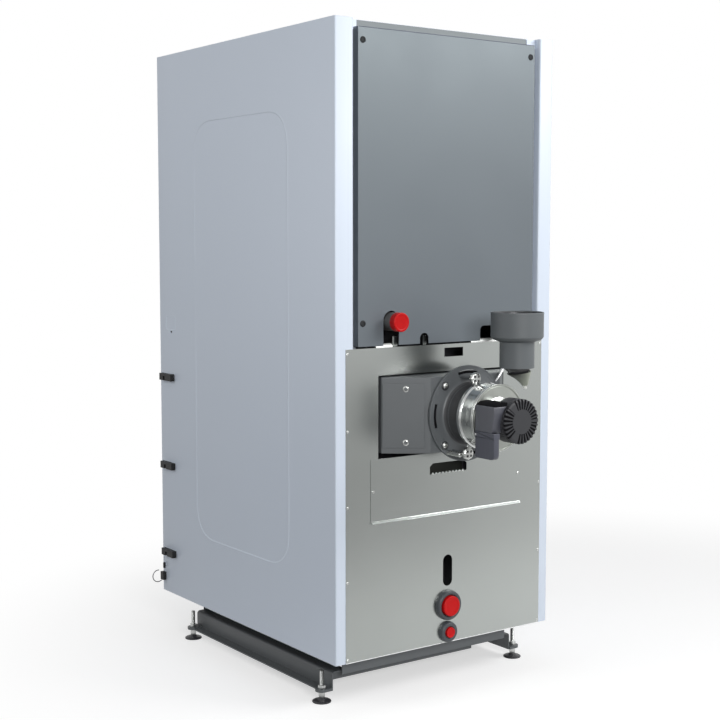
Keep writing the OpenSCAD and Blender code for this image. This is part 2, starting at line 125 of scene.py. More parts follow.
class BoilerSizes(bpy.types.PropertyGroup):
    """Sizes of the details that the solid model leaves plain."""

    sheet_edge: length("Sheet edge", "Rounding of a cut sheet's edges", 0.0004, 0.0001, 0.001)
    frame_edge: length("Frame edge", "Rounding of the base frame's edges", 0.0008, 0.0001, 0.002)
    box_edge: length("Flue box edge", "Rounding of the folded flue box", 0.0022, 0.0005, 0.005)
    bead_width: length("Bead width", "Width of the pressed outline on a side panel", 0.0062, 0.003, 0.012)
    bead_height: length("Bead height", "How far the pressed outline stands proud", 0.0007, 0.0002, 0.0008)
    thread_pitch: length("Thread pitch", "Pitch of the levelling rods' thread", 0.0015, 0.001, 0.002)
    thread_depth: length("Thread depth", "Depth of the levelling rods' thread", 0.0007, 0.0002, 0.001)
    cap_slots: number("Cap slots", "Slots that a full turn of the motor's end cap would hold", 30, 16, 40)
    motor_fins: number("Motor fins", "Cooling fins around the motor body", 48, 24, 72)
    grip_ribs: number("Grip ribs", "Teeth along the hand hole's lower edge", 10, 5, 21)


class BoilerColours(bpy.types.PropertyGroup):
    """Base colours of the finishes, as linear values."""

    casing: colour("Casing paint", "Powder coat of the casing", (0.70, 0.775, 0.885))
    panel: colour("Upper panel", "Satin paint of the rear upper panel", (0.122, 0.137, 0.155))
    sheet: colour("Bare sheet", "Zinc-coated sheet of the rear lower panel", (0.455, 0.478, 0.463))
    frame: colour("Frame paint", "Anthracite paint of frame and flue box", (0.115, 0.125, 0.132))
    bright: colour("Bright steel", "Polished steel of the fan housing", (0.74, 0.75, 0.745))
    motor: colour("Motor paint", "Paint of the motor body", (0.060, 0.060, 0.066))
    black: colour("Black plastic", "Moulded clips and boxes", (0.030, 0.030, 0.034))
    grey: colour("Grey plastic", "Flue adapter", (0.116, 0.128, 0.135))
    spout: colour("Spout plastic", "Drain spout", (0.30, 0.325, 0.27))
    red: colour("Red plastic", "Protective caps", (0.52, 0.003, 0.004))
    rubber: colour("Grey rubber", "Grommets of the pipe stubs", (0.052, 0.058, 0.066))
    pipe: colour("Pipe steel", "Raw steel of the flow pipe", (0.19, 0.185, 0.18))
    body: colour("Boiler body", "Dark sheet of the boiler body", (0.030, 0.031, 0.036))


class BoilerLight(bpy.types.PropertyGroup):
    """Studio lamps and surroundings."""

    key: power("Key", "Power of the rear lamp", 56.0)
    fill: power("Fill", "Power of the side lamp", 30.0)
    high: power("High", "Power of the high lamp", 62.0)
    sky: FloatProperty(name="Sky", description="Strength of the surroundings on matt surfaces",
                       default=0.25, min=0.0, max=2.0)


# ---------------------------------------------------------------- shape functions


def full_turn(count):
    """Angles of count points around a full turn."""
    return np.arange(count) * 2 * np.pi / count


def grid(points, capped=False):
    """Part whose points form rows of rings: cell (i, j) takes points (i, j), (i, j+1), (i+1, j+1) and
    (i+1, j), and a ring's last point is followed by its first. capped closes the first and last ring."""
    rows, columns = points.shape[:2]
    i = np.arange(rows - 1)[:, None] * columns
    j = np.arange(columns)[None, :]
    k = (j + 1) % columns
    faces = [np.stack([i + j, i + k, i + columns + k, i + columns + j], -1).reshape(-1, 4)]
    if capped:
        faces += [j[:, ::-1], j + (rows - 1) * columns]
    return points.reshape(-1, 3), faces


def arrange(u, v, w, axis):
    """Points whose third coordinate w runs along the named axis."""
    u, v, w = np.broadcast_arrays(u, v, w)
    return np.stack({"x": (w, u, v), "y": (u, w, v), "z": (u, v, w)}[axis], -1)


def polar(radius, angle, height, axis):
    """Points at each radius and angle about the named axis, and at each height along it."""
    return arrange(radius * np.cos(angle), radius * np.sin(angle), height, axis)


def filleted(corners, radius, closed=True, steps=4):
    """Outline whose corners are rounded: each corner c gives way to (1-t)^2 a + 2t(1-t) c + t^2 b,
    where a and b lie radius * tan(half the turn) before and after it."""
    corners = np.asarray(corners, float)
    before = np.roll(corners, 1, 0) - corners
    after = np.roll(corners, -1, 0) - corners
    reach = np.minimum(np.hypot(*before.T), np.hypot(*after.T)) * 0.49
    before /= np.hypot(*before.T)[:, None]
    after /= np.hypot(*after.T)[:, None]
    turn = np.pi - np.arccos(np.clip((before * after).sum(1), -1, 1))
    setback = np.minimum(np.broadcast_to(radius, len(corners)) * np.tan(turn / 2), reach)
    if not closed:
        setback = setback * ((np.arange(len(corners)) > 0) & (np.arange(len(corners)) < len(corners) - 1))
    a = corners + before * setback[:, None]
    b = corners + after * setback[:, None]
    t = np.linspace(0, 1, steps + 1)[None, :, None]
    curve = (1 - t) ** 2 * a[:, None] + 2 * t * (1 - t) * corners[:, None] + t**2 * b[:, None]
    curve = curve.reshape(-1, 2)
    step = np.hypot(*(curve - np.roll(curve, 1, 0)).T)
    keep = step > 1e-6
    keep[0] |= not closed
    return curve[keep]


def contour(rows, closed=False, steps=4):
    """Outline through rows of (u, v, rounding of that corner)."""
    rows = np.array(rows, float)
    return filleted(rows[:, :2], rows[:, 2], closed, steps)


def inset(outline, depth):
    """Outline moved inwards by each depth: every point moves along the mean normal of its two edges,
    lengthened by 1 / cos(half the turn) so that the edges stay parallel."""
    edge = np.roll(outline, -1, 0) - outline
    normal = np.stack([-edge[:, 1], edge[:, 0]], -1) / np.hypot(*edge.T)[:, None]
    area = (outline[:, 0] * np.roll(outline[:, 1], -1) - outline[:, 1] * np.roll(outline[:, 0], -1)).sum()
    normal *= np.sign(area)
    mean = normal + np.roll(normal, 1, 0)
    mean /= np.maximum((mean * normal).sum(1), 0.2)[:, None]
    return outline[None] + mean[None] * np.asarray(depth, float)[:, None, None]


def loft(outline, stations, axis):
    """Closed body: the outline is carried along an axis, and stations hold (place, inset) rows."""
    place, depth = np.asarray(stations, float).T
    rings = inset(np.asarray(outline, float), depth)
    return grid(arrange(rings[..., 0], rings[..., 1], place[:, None], axis), capped=True)


def soft_ends(start, end, radius, steps=3, flat=0.6):
    """Stations of a body whose two ends are rounded by quarter circles of the radius; a further flat
    ring inside each rounding keeps the end face's shading flat."""
    t = np.linspace(0, np.pi / 2, steps + 1)
    place = radius * (1 - np.sin(t[::-1]))
    depth = radius * (1 - np.cos(t[::-1]))
    first = np.stack([start + np.sign(end - start) * place, depth], -1)[np.argsort(place)]
    last = np.stack([end - np.sign(end - start) * place, depth], -1)[np.argsort(-place)]
    return np.concatenate([[(start, radius + flat)], first, last, [(end, radius + flat)]])


def plate(x_span, y_span, z_span):
    """Plain rectangular plate."""
    (x0, x1), (y0, y1) = x_span, y_span
    return loft([(x0, y0), (x1, y0), (x1, y1), (x0, y1)], [(z, 0) for z in z_span], "z")


def turned(profile, centre, axis, count, scale=1.0):
    """Surface of revolution: point (i, j) lies at radius profile[i, 0] and height profile[i, 1],
    turned by 2 pi j / count. scale multiplies the radius, and may differ from point to point."""
    radius, height = np.asarray(profile, float).T[:, :, None]
    angle = full_turn(count)
    radius = radius * scale
    points = polar(radius, angle, height, axis)
    return grid(points + np.asarray(centre, float))


def tube(path, radius, binormal, count=16, taper=1.0):
    """Round bar along a flat path: every ring is centre + r (cos a * n + sin a * b), with b the
    plane's normal and n across the path, and its ends are domes. r goes from the radius to taper
    times the radius."""
    path = np.asarray(path, float)
    b = np.asarray(binormal, float)
    along = np.gradient(path, axis=0)
    along /= np.linalg.norm(along, axis=1)[:, None]
    across = np.cross(along, b)
    thick = radius * np.linspace(1.0, taper, len(path))
    dome = np.linspace(0, np.pi / 2, 5)[:-1]
    head = path[0] - along[0] * radius * np.cos(dome)[:, None]
    tail = path[-1] + along[-1] * radius * taper * np.cos(dome[::-1])[:, None]
    path = np.concatenate([head, path, tail])
    across = np.concatenate([np.repeat(across[:1], 4, 0), across, np.repeat(across[-1:], 4, 0)])
    thick = np.concatenate([radius * np.sin(dome), thick, radius * taper * np.sin(dome[::-1])])
    angle = full_turn(count)
    ring = np.cos(angle)[None, :, None] * across[:, None] + np.sin(angle)[None, :, None] * b
    return grid(path[:, None] + ring * thick[:, None, None])


def facing(part, centre, normal):
    """Part drawn about the z axis, stood up at centre so that its z axis is the level normal."""
    points, faces = part
    w = np.asarray(normal, float) / np.linalg.norm(normal)
    u = np.cross((0, 0, 1), w)
    u /= np.linalg.norm(u)
    v = np.cross(w, u)
    return points @ np.stack([u, v, w]) + np.asarray(centre, float), faces


def mirrored(part):
    """Part on the other side of the casing's middle."""
    points, faces = part
    return points * np.array([-1, 1, 1]), [f[:, ::-1] for f in faces]


def footed(u, v, top, rings):
    """Height field about the z axis whose outer ring goes on through rings of (share of its radius,
    height)."""
    rows = [np.stack([u, v, top], -1)]
    rows += [[np.stack([u[-1] * share, v[-1] * share, level + 0 * u[-1]], -1)] for share, level in rings]
    return grid(np.concatenate(rows))


def screw_head(radius, height, recess="cross", skirt=0.0, depth=0.55, count=32):
    """Round head about the z axis: at share s of its radius it stands height * sqrt(1 - (0.94 s)^2.6)
    high, less depth * height in the recess, which is a cross where min(|u|, |v|) lies within the bar,
    or a hexagonal socket. A skirt widens it into a washer, and its foot is sunk into the sheet."""
    share = np.array([0, 0.10, 0.22, 0.30, 0.40, 0.50, 0.58, 0.70, 0.82, 0.91, 0.97, 1.0])[:, None]
    angle = full_turn(count)
    r = share * (radius + 0 * angle)
    u, v = r * np.cos(angle), r * np.sin(angle)
    top = height * np.sqrt(np.clip(1 - (share * 0.94) ** 2.6, 0, 1)) + 0 * angle
    if recess == "cross":
        bar = np.minimum(np.abs(u), np.abs(v)) / (radius * 0.16)
        hollow = np.clip(1.6 - bar, 0, 1) * np.clip((0.62 - share) / 0.10, 0, 1)
    elif recess == "hex":
        flat = np.abs(((angle + np.pi / 6) % (np.pi / 3)) - np.pi / 6)
        hollow = np.clip((0.50 - share * np.cos(flat)) / 0.06, 0, 1)
    else:
        hollow = 0 * angle * share
    top = top - height * depth * hollow
    top[-1] = 0
    foot = -1.0
    washer = [(1.04, 0.0), (1 + skirt * 0.92, -0.05 * height), (1 + skirt, -0.25 * height)]
    return footed(u, v, top, [*(washer if skirt else []), (1 + skirt, foot), (0.0, foot)])


def screws(places, radius, height, recess="cross", outwards=REARWARDS, **shape):
    """Equal screw heads, one at each place, that all face outwards."""
    head = screw_head(radius, height, recess, **shape)
    return [facing(head, place, outwards) for place in places]


# ---------------------------------------------------------------- pieces


def add_piece(name, parts, slot, stands_for=(), **style):
    """Makes one mesh from parts of (points, face arrays), in casing millimetres; style goes on to
    finish_piece."""
    points, corners, counts, base = [], [], [], 0
    for part_points, faces in parts:
        points.append(part_points)
        for face in faces:
            corners.append((face + base).ravel())
            counts.append(np.full(len(face), face.shape[1]))
        base += len(part_points)
    points = np.concatenate(points) * MM + ORIGIN
    corners = np.concatenate(corners)
    counts = np.concatenate(counts)
    mesh = bpy.data.meshes.new(name)
    mesh.vertices.add(len(points))
    mesh.vertices.foreach_set("co", points.astype(np.float32).ravel())
    mesh.loops.add(len(corners))
    mesh.loops.foreach_set("vertex_index", corners.astype(np.int32))
    mesh.polygons.add(len(counts))
    mesh.polygons.foreach_set("loop_start", (np.cumsum(counts) - counts).astype(np.int32))
    mesh.update(calc_edges=True)
    finish_piece(name, mesh, slot, stands_for, **style)


def soften(node, slot, width, **style):
    """Copy of a solid whose triangles are joined into flat faces and whose edges are rounded."""
    mesh = frame["nodes"][node].data.copy()
    mesh.materials.clear()
    finish_piece(node + "_finished", mesh, slot, (node,), bevel=width, flat=True, **style)


def finish_piece(name, mesh, slot, stands_for, finish=None, sharp=32.0, bevel=0.0, segments=2,
                 flat=False):
    """Merges the mesh's doubles, turns its faces outwards, shades it smooth up to the sharp angle,
    and ties the piece to the body. flat joins faces that lie in one plane; bevel rounds the edges."""
    work = bmesh.new()
    work.from_mesh(mesh)
    bmesh.ops.remove_doubles(work, verts=work.verts, dist=2e-6)
    if flat:
        bmesh.ops.dissolve_limit(
            work, angle_limit=math.radians(0.4), verts=work.verts, edges=work.edges, delimit={"NORMAL"}
        )
    bmesh.ops.recalc_face_normals(work, faces=work.faces)
    work.to_mesh(mesh)
    work.free()
    if "custom_normal" in mesh.attributes:
        mesh.attributes.remove(mesh.attributes["custom_normal"])
    mesh.shade_smooth()
    mesh.set_sharp_from_angle(angle=math.radians(sharp))
    mesh.materials.append(FINISHES[finish or slot])
    piece = bpy.data.objects.new(name, mesh)
    bpy.context.scene.collection.objects.link(piece)
    if bevel:
        round_edges = piece.modifiers.new("round_edges", "BEVEL")
        round_edges.width = bevel
        round_edges.segments = segments
        round_edges.limit_method = "ANGLE"
        round_edges.angle_limit = math.radians(30)
        round_edges.use_clamp_overlap = True
        round_edges.harden_normals = True
    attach(piece, "root")
    if stands_for:
        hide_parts(*stands_for)


# ---------------------------------------------------------------- finishes

FINISHES = {}


class Wiring:
    """Shader nodes of one tree. Each value is a socket to take it from, or a plain number or colour."""

    def __init__(self, tree):
        self.tree = tree
        self.place = self.add("TexCoord", {}, "Object")

    def fill(self, node, values):
        """Links or sets the node's inputs, each given by its name or number."""
        for key, value in values.items():
            if isinstance(value, bpy.types.NodeSocket):
                self.tree.links.new(value, node.inputs[key])
            else:
                node.inputs[key].default_value = value

    def add(self, kind, values, output=0, **settings):
        """New node with its settings and sockets filled; hands back one of its outputs."""
        node = self.tree.nodes.new("ShaderNode" + kind)
        for key, value in settings.items():
            setattr(node, key, value)
        self.fill(node, values)
        return node.outputs[output] if len(node.outputs) else None

    def noise(self, size, detail):
        """Noise with features of about the given size in metres, from 0 to 1."""
        values = {"Vector": self.place, "Scale": 1 / size, "Detail": detail, "Roughness": 0.55}
        return self.add("TexNoise", values, "Fac")

    def ramp(self, source, start, end, low, high, kind="SMOOTHSTEP"):
        """Goes from low to high while the source goes from start to end."""
        values = {"Value": source, "From Min": start, "From Max": end, "To Min": low, "To Max": high}
        return self.add("MapRange", values, interpolation_type=kind)

    def spread(self, noise, low, high):
        """Carries the middle part of a noise to low..high."""
        return self.ramp(noise, 0.3, 0.7, low, high, "LINEAR")

    def blend(self, share, first, second):
        """Colour between the first and the second."""
        return self.add("Mix", {"Factor": share, 6: (*first, 1), 7: (*second, 1)}, 2, data_type="RGBA")

    def choose(self, share, first, second):
        """Number between the first and the second."""
        return self.add("Mix", {"Factor": share, 2: first, 3: second}, data_type="FLOAT")

    def math(self, operation, *values):
        """Result of one sum."""
        return self.add("Math", dict(enumerate(values)), operation=operation)

    def along_x(self, vector):
        """First coordinate of a vector; its node's other outputs hold the others."""
        return self.add("SeparateXYZ", {0: vector}, "X")


def basic_finish(name, base, roughness, metal=0.0, mottle=0.03, size=120, grain=1.2, relief=20,
                 rough_change=0.04, **sockets):
    """Finish with slow colour variation, uneven gloss and a fine relief. size and grain are the
    features' sizes in millimetres, relief is in micrometres. Values that are the same all over are
    set on the shader itself."""
    material = bpy.data.materials.new(name)
    material.use_nodes = True
    shader = next(n for n in material.node_tree.nodes if n.type == "BSDF_PRINCIPLED")
    wiring = Wiring(material.node_tree)
    base, size = np.array(base), size * MM
    slow = wiring.spread(wiring.noise(size, 2.0), 0, 1)
    fine = wiring.noise(grain * MM, 2.0)
    patchy = wiring.noise(size * 0.4, 3.0)
    bump = {"Strength": 1.0, "Distance": relief * MM * MM, "Height": fine}
    wiring.fill(shader, {
        "Base Color": wiring.blend(slow, base * (1 - mottle), np.minimum(base * (1 + mottle), 1)),
        "Roughness": wiring.spread(patchy, roughness - rough_change, roughness + rough_change),
        "Normal": wiring.add("Bump", bump, "Normal"),
        "Metallic": metal,
        **{socket.replace("_", " "): value for socket, value in sockets.items()},
    })
    FINISHES[name] = material
    return wiring, shader


class BOILER_OT_finishes(bpy.types.Operator):
    """Makes the procedural finishes of all pieces"""

    bl_idname = "boiler.finishes"
    bl_label = "Finishes"

    def execute(self, context):
        tint = context.scene.boiler_colours
        # painted sheet and frame
        basic_finish("casing_white", tint.casing, 0.42, mottle=0.008, size=500, grain=1.4, relief=12)
        # darkened copy of the casing paint: painted shade on the returns behind the gaps
        basic_finish("return_painted_shade", (0.30, 0.325, 0.37), 0.5, mottle=0.01, size=400)
        basic_finish("lip_grey", (0.20, 0.226, 0.238), 0.5, mottle=0.01, size=400)
        basic_finish("panel_grey", tint.panel, 0.42, mottle=0.012, size=400, relief=12,
                     Specular_IOR_Level=0.9, Specular_Tint=(0.84, 0.97, 1.0, 1.0))
        # darker blue-grey than the panel: painted shade at the upper panel's top fold
        basic_finish("fold_painted_shade", (0.10, 0.115, 0.155), 0.6, mottle=0.01, Specular_IOR_Level=0.3)
        basic_finish("frame_paint", tint.frame, 0.40, grain=1.3, relief=25)
        # lighter and darker copies of the frame paint: painted light on the channels, painted shade on
        # the beams
        for name, share in (("frame_paint_lit", 1.22), ("frame_paint_shaded", 0.84)):
            basic_finish(name, np.array(tint.frame) * share, 0.42, grain=1.3, relief=25)
        # near-black copy of the frame paint: painted shade on the flange's neck
        basic_finish("neck_painted_shade", (0.056, 0.058, 0.061), 0.5, mottle=0.04, grain=1.3)
        basic_finish("body_dark", tint.body, 0.5, mottle=0.05, grain=2.0)
        # bare metal
        basic_finish("bare_sheet", tint.sheet, 0.25, metal=1.0, mottle=0.015, size=250, relief=3,
                     rough_change=0.01)
        basic_finish("bright_steel", tint.bright, 0.16, metal=1.0, mottle=0.02, size=30, relief=1,
                     rough_change=0.01)
        basic_finish("plate_steel", (0.42, 0.44, 0.41), 0.36, metal=1.0, size=30, grain=0.8, relief=3)
        basic_finish("foot_steel", (0.55, 0.56, 0.55), 0.30, metal=1.0, mottle=0.08, size=10, grain=0.6,
                     relief=10)
        basic_finish("screw_steel", (0.58, 0.59, 0.575), 0.26, metal=1.0, size=5, grain=0.5, relief=5)
        basic_finish("ring_steel", (0.16, 0.16, 0.165), 0.3, metal=1.0, mottle=0.04, size=10)
        basic_finish("pipe_steel", tint.pipe, 0.42, metal=0.8, mottle=0.12, size=20, grain=0.9)
        # pale, less metallic copies of the bare sheet and near-white: painted highlights on folds, edges
        # and teeth
        basic_finish("bend_painted_highlight", (0.78, 0.80, 0.78), 0.45, metal=0.35, mottle=0.02)
        basic_finish("drip_painted_highlight", (0.62, 0.66, 0.64), 0.6, metal=0.2, mottle=0.01)
        # near-white: painted highlight on the strap and on one slot edge
        basic_finish("painted_highlight_white", (0.94, 0.95, 0.96), 0.25, metal=0.5, mottle=0.01)
        basic_finish("edge_painted_highlight", (0.95, 0.96, 0.97), 0.5, mottle=0.005)
        # plastic and rubber
        basic_finish("motor_black", tint.motor, 0.45, mottle=0.05, size=20, grain=0.9, relief=30)
        basic_finish("cap_plastic", (0.027, 0.028, 0.032), 0.5, mottle=0.04, size=20, grain=0.9)
        basic_finish("terminal_plastic", (0.058, 0.061, 0.078), 0.42, size=20, grain=0.8, relief=8,
                     Specular_IOR_Level=1.0)
        basic_finish("box_plastic", (0.072, 0.076, 0.098), 0.36, size=20, grain=0.8, relief=8)
        basic_finish("black_plastic", tint.black, 0.38, mottle=0.05, size=20, grain=0.6, relief=15)
        basic_finish("clip_black", (0.014, 0.014, 0.015), 0.5, mottle=0.04, size=20,
                     Specular_IOR_Level=0.3)
        basic_finish("screw_dark", (0.022, 0.024, 0.026), 0.6, mottle=0.02, Specular_IOR_Level=0.25)
        # near-black: painted shade behind the hand hole
        basic_finish("hole_painted_shade", (0.020, 0.022, 0.018), 0.6, mottle=0.02, Specular_IOR_Level=0.2)
        # near-black: painted shade in the flange's slots, behind the cap's slots and on the terminal
        # box's top
        basic_finish("painted_shade_black", (0.004, 0.004, 0.005), 0.8, mottle=0.02, Specular_IOR_Level=0.1)
        basic_finish("grey_plastic", tint.grey, 0.55, mottle=0.02, size=50, grain=0.8, relief=10)
        basic_finish("grey_rubber", tint.rubber, 0.38, mottle=0.05, size=20, grain=0.7)
        basic_finish("red_cap", tint.red, 0.42, mottle=0.04, size=10, grain=0.8, relief=10,
                     Specular_IOR_Level=0.25)
        # pale: the nozzle tip is a real part, with a painted highlight
        basic_finish("nozzle_painted_highlight", (0.72, 0.74, 0.70), 0.35, mottle=0.02, size=10)
        # painted shade: the spout's colour darkens towards +x, where it lies under the tube
        wiring, shader = basic_finish("spout_plastic", tint.spout, 0.42, mottle=0.04, size=20, grain=0.8,
                                      relief=10)
        pale, dark = ORIGIN[0] - 0.070, ORIGIN[0] - 0.036
        across = wiring.ramp(wiring.along_x(wiring.place), pale, dark, 1, 0, "LINEAR")
        shaded_tone = wiring.blend(across, np.array(tint.spout) * 0.10, tint.spout)
        wiring.fill(shader, {"Base Color": shaded_tone})
        return {"FINISHED"}


# ---------------------------------------------------------------- base frame and feet


class BOILER_OT_base(bpy.types.Operator):
    """Rounds the edges of the base frame"""

    bl_idname = "boiler.base"
    bl_label = "Base frame"

    def execute(self, context):
        edge = context.scene.boiler_sizes.frame_edge
        # the channels take the lighter copy of the frame paint as painted light, and the beams take the
        # darker copy as painted shade
        for paint, nodes in (
            ("frame_paint_shaded", ("base_beam_right", "base_beam_left", "base_cross_rail")),
            ("frame_paint_lit", ("base_rear_channel", "base_front_channel")),
        ):
            for node in nodes:
                soften(node, "frame_paint", edge, finish=paint)
        return {"FINISHED"}


def threaded_rod(centre, low, high, radius, pitch, depth):
    """Rod whose radius is r - depth * |2 f - 1|, with f the fraction of a turn at (angle, height); the
    thread runs out over the last 1.2 mm of both ends."""
    rows_per_turn, count, run_out = 6, 20, 1.2
    height = np.linspace(low, high, int((high - low) / pitch * rows_per_turn))[:, None]
    angle = full_turn(count)
    phase = (height / pitch - angle / (2 * np.pi)) % 1
    ends = np.clip(np.minimum(height - low, high - height) / run_out, 0, 1)
    r = radius - depth * np.abs(2 * phase - 1) - depth * (1 - ends)
    points = polar(r, angle, height, "z")
    return grid(points + np.asarray(centre), capped=True)


def hexagon(across, centre, low, high, chamfer):
    """Nut: a hexagon whose corners are cut by cones at both ends, radius = min(hexagon, cone)."""
    count = 48
    angle = full_turn(count)
    flat = np.abs((angle % (np.pi / 3)) - np.pi / 6)
    edge = across / 2 / np.cos(flat)
    place = np.array([low, low, low + chamfer, high - chamfer, high, high])
    hole_r, face_r, widest = across * 0.2, across * 0.5, across * 0.59
    cone = np.array([hole_r, face_r, widest, widest, face_r, hole_r])
    r = np.minimum(edge[None, :], cone[:, None])
    points = polar(r, angle, place[:, None], "z")
    return grid(points + np.asarray(centre), capped=True)


class BOILER_OT_feet(bpy.types.Operator):
    """Makes the levelling feet: threaded rod, lock nut, hexagon stem and pad"""

    bl_idname = "boiler.feet"
    bl_label = "Levelling feet"

    def execute(self, context):
        sizes = context.scene.boiler_sizes
        pitch, depth = sizes.thread_pitch / MM, sizes.thread_depth / MM
        lug_top = span("base_beam_right")[0][2] + 6
        for node in ("foot_rear_right", "foot_rear_left", "foot_front_right", "foot_front_left"):
            lo, hi = span(node)
            at = axis_foot(node, "z")
            z, pad_r = lo[2], (hi[0] - lo[0]) / 2
            rod = threaded_rod(at, z + 20, hi[2], 5, pitch, depth)
            stem = [(0, z + 7), (5.2, z + 7), (6, z + 9), (8.2, z + 14), (8.2, z + 25), (0, z + 25)]
            nut = hexagon(17, at, lug_top, lug_top + 8, 1.2)
            lower_nut = hexagon(17, at, lug_top - 8.2, lug_top - 6.2, 0.4)
            add_piece(node + "_rod", [rod, nut, lower_nut], "foot_steel", (node,))
            add_piece(node + "_stem", [turned(stem, at, "z", 6)], "foot_steel", bevel=0.5 * MM)
            rim = contour([
                (0, z, 0), (pad_r - 0.6, z, 0.3), (pad_r, z + 0.6, 0.3), (pad_r, z + 2.8, 1),
                (19, z + 4.5, 3), (10, z + 6.6, 2), (8, z + 9, 1), (0, z + 9, 0),
            ])
            add_piece(node + "_pad", [turned(rim, at, "z", 64)], "grey_rubber", finish="black_plastic")
        return {"FINISHED"}


# ---------------------------------------------------------------- casing

PANEL_THICKNESS = 2.0
PANEL_RELIEF = 0.8
RETURN_Y = -19.0
SIDE_SLOT_Y = (-759, -748)
SIDE_SLOT_Z = (690, 695)


def folded_side(lo, hi, fold):
    """Side panel: the folded section carried from the lower to the upper edge. Its outer skin runs
    from the rear return's free edge, which reaches inwards to the fold, to the front return's, and its
    inner skin runs back one thickness inside. A slot is one cell left out of both skins, walled
    between them."""
    out, back, front = hi[0] - PANEL_RELIEF, 0.0, lo[1]
    t, turned_in = PANEL_THICKNESS, 18
    slot_front, slot_back = SIDE_SLOT_Y
    outline = contour([
        (out, back, 3), (fold, back, 5), (fold, RETURN_Y, 0.3), (fold + t, RETURN_Y, 0.3),
        (fold + t, back - t, 3), (out - t, back - t, 1), (out - t, slot_back, 0),
        (out - t, slot_front, 0), (out - t, front + t, 1), (out - turned_in, front + t, 0.3),
        (out - turned_in, front, 0.3), (out, front, 3), (out, slot_front, 0), (out, slot_back, 0),
    ], closed=True)
    ends = soft_ends(lo[2], hi[2], 0.3, 2, flat=0)
    half = len(ends) // 2
    stations = np.concatenate([ends[:half], [(z, 0) for z in SIDE_SLOT_Z], ends[half:]])
    points, (cells, *_) = loft(outline, stations, "z")
    columns = len(outline)
    # the skins have as many points as each other, so a strip of quads between them closes each end
    edge_start, edge_end = 14, 15
    outer = np.arange(edge_start, edge_start - columns // 2, -1)
    pair = np.stack([outer % columns, (edge_start + edge_end - outer) % columns], -1)
    strip = np.concatenate([pair[:-1], pair[1:, ::-1]], -1)
    closing = [strip, strip[:, ::-1] + (len(stations) - 1) * columns]
    row = half * columns
    skins, keep = [], np.ones(len(cells), bool)
    for x in (out, out - t):
        a, b = (np.argmin(np.hypot(*(outline - (x, y)).T)) for y in (slot_back, slot_front))
        keep[row + (min(a, b) if abs(a - b) == 1 else max(a, b))] = False
        skins.append(np.array([a, b, b + columns, a + columns]) + row)
    walls = np.stack([skins[0], np.roll(skins[0], -1), np.roll(skins[1], -1), skins[1]], -1)
    return points, [cells[keep], walls, *closing]


def pressed_outline(x, y_span, z_span, radius, width, height):
    """Bead along a rounded rectangle: across the bead, t from -1 to 1, it stands height * cos^2(pi t / 2)
    proud of the sheet, and its flat underside lies inside the sheet."""
    (y0, y1), (z0, z1) = y_span, z_span
    outline = filleted([(y0, z0), (y1, z0), (y1, z1), (y0, z1)], radius, steps=16)
    t = np.linspace(-1, 1, 13)
    depth = np.concatenate([t * width / 2, [width / 2, -width / 2]])
    rise = np.concatenate([0.02 + (height - 0.02) * np.cos(np.pi * t / 2) ** 2, [-0.4, -0.4]])
    rings = inset(outline, depth)
    points = arrange(rings[..., 0], rings[..., 1], x + rise[:, None], "x")
    points = np.concatenate([points, points[:1]])
    return grid(points)


class BOILER_OT_casing(bpy.types.Operator):
    """Makes the painted casing: side panels with pressed outlines, top cover and front panels"""

    bl_idname = "boiler.casing"
    bl_label = "Casing"

    def execute(self, context):
        sizes = context.scene.boiler_sizes
        lo, hi = span("side_panel_right")
        skin = hi[0] - PANEL_RELIEF
        fold_right, fold_left = lo[0], -span("side_panel_left")[1][0]
        width, height = sizes.bead_width / MM, sizes.bead_height / MM
        beads = [
            pressed_outline(skin, (-621.5, -188.5), (179.5, 1220.5), 87.5, width, height),
            pressed_outline(skin, (-779, -731), (698, 734), 3.4, 2.6, height),
        ]
        add_piece("side_panel_right_sheet", [folded_side(lo, hi, fold_right)], "casing_white",
                  ("side_panel_right",))
        add_piece("side_panel_left_sheet", [mirrored(folded_side(lo, hi, fold_left))], "casing_white",
                  ("side_panel_left",))
        add_piece("side_panel_right_beads", beads, "casing_white", sharp=60)
        add_piece("side_panel_left_beads", [mirrored(b) for b in beads], "casing_white", sharp=60)
        # strips in a darkened copy of the casing paint behind the gaps between the returns and the grey
        # panel, as painted shade, and covers of the returns' tops
        backs = [plate(x, (RETURN_Y, RETURN_Y + 1.4), (lo[2] + 2, hi[2] - 14))
                 for x in ((-272, -246), (246, 264))]
        add_piece("side_panel_return_shade", backs, "casing_white", finish="return_painted_shade")
        tips = [plate(x, (RETURN_Y - 0.4, RETURN_Y + 2.5), (hi[2] - 22, hi[2] - 2))
                for x in ((-271.5, -245), (245, 263))]
        add_piece("side_panel_fold_tips", tips, "casing_white")
        covers = [plate(x, (RETURN_Y - 0.2, 0.2 - PANEL_THICKNESS), (hi[2] - 3, hi[2] - 0.5))
                  for x in ((2 - skin, -fold_left - 1.8), (fold_right + 1.8, skin - 1.9))]
        add_piece("side_panel_fold_covers", covers, "casing_white")
        for node in ("top_cover", "front_upper_panel", "front_lower_panel"):
            soften(node, "casing_white", sizes.frame_edge)
        lo, hi = span("rear_upper_panel")
        lip = plate((-244, 244), (RETURN_Y - 0.2, RETURN_Y + 0.6), (lo[2] + 640, hi[2] + 15.6))
        add_piece("top_cover_lip", [lip], "casing_white", finish="lip_grey")
        # dark tube along the upper panel's top fold: painted shade under the lip
        bend = [(x, 0.6, hi[2] - 0.9) for x in np.linspace(-251, 251, 12)]
        add_piece("upper_panel_bend", [tube(bend, 1.25, (0, 0, 1), 12)], "panel_grey", finish="fold_painted_shade")
        soften("boiler_body", "body_dark", sizes.frame_edge)
        return {"FINISHED"}


# ---------------------------------------------------------------- rear panels


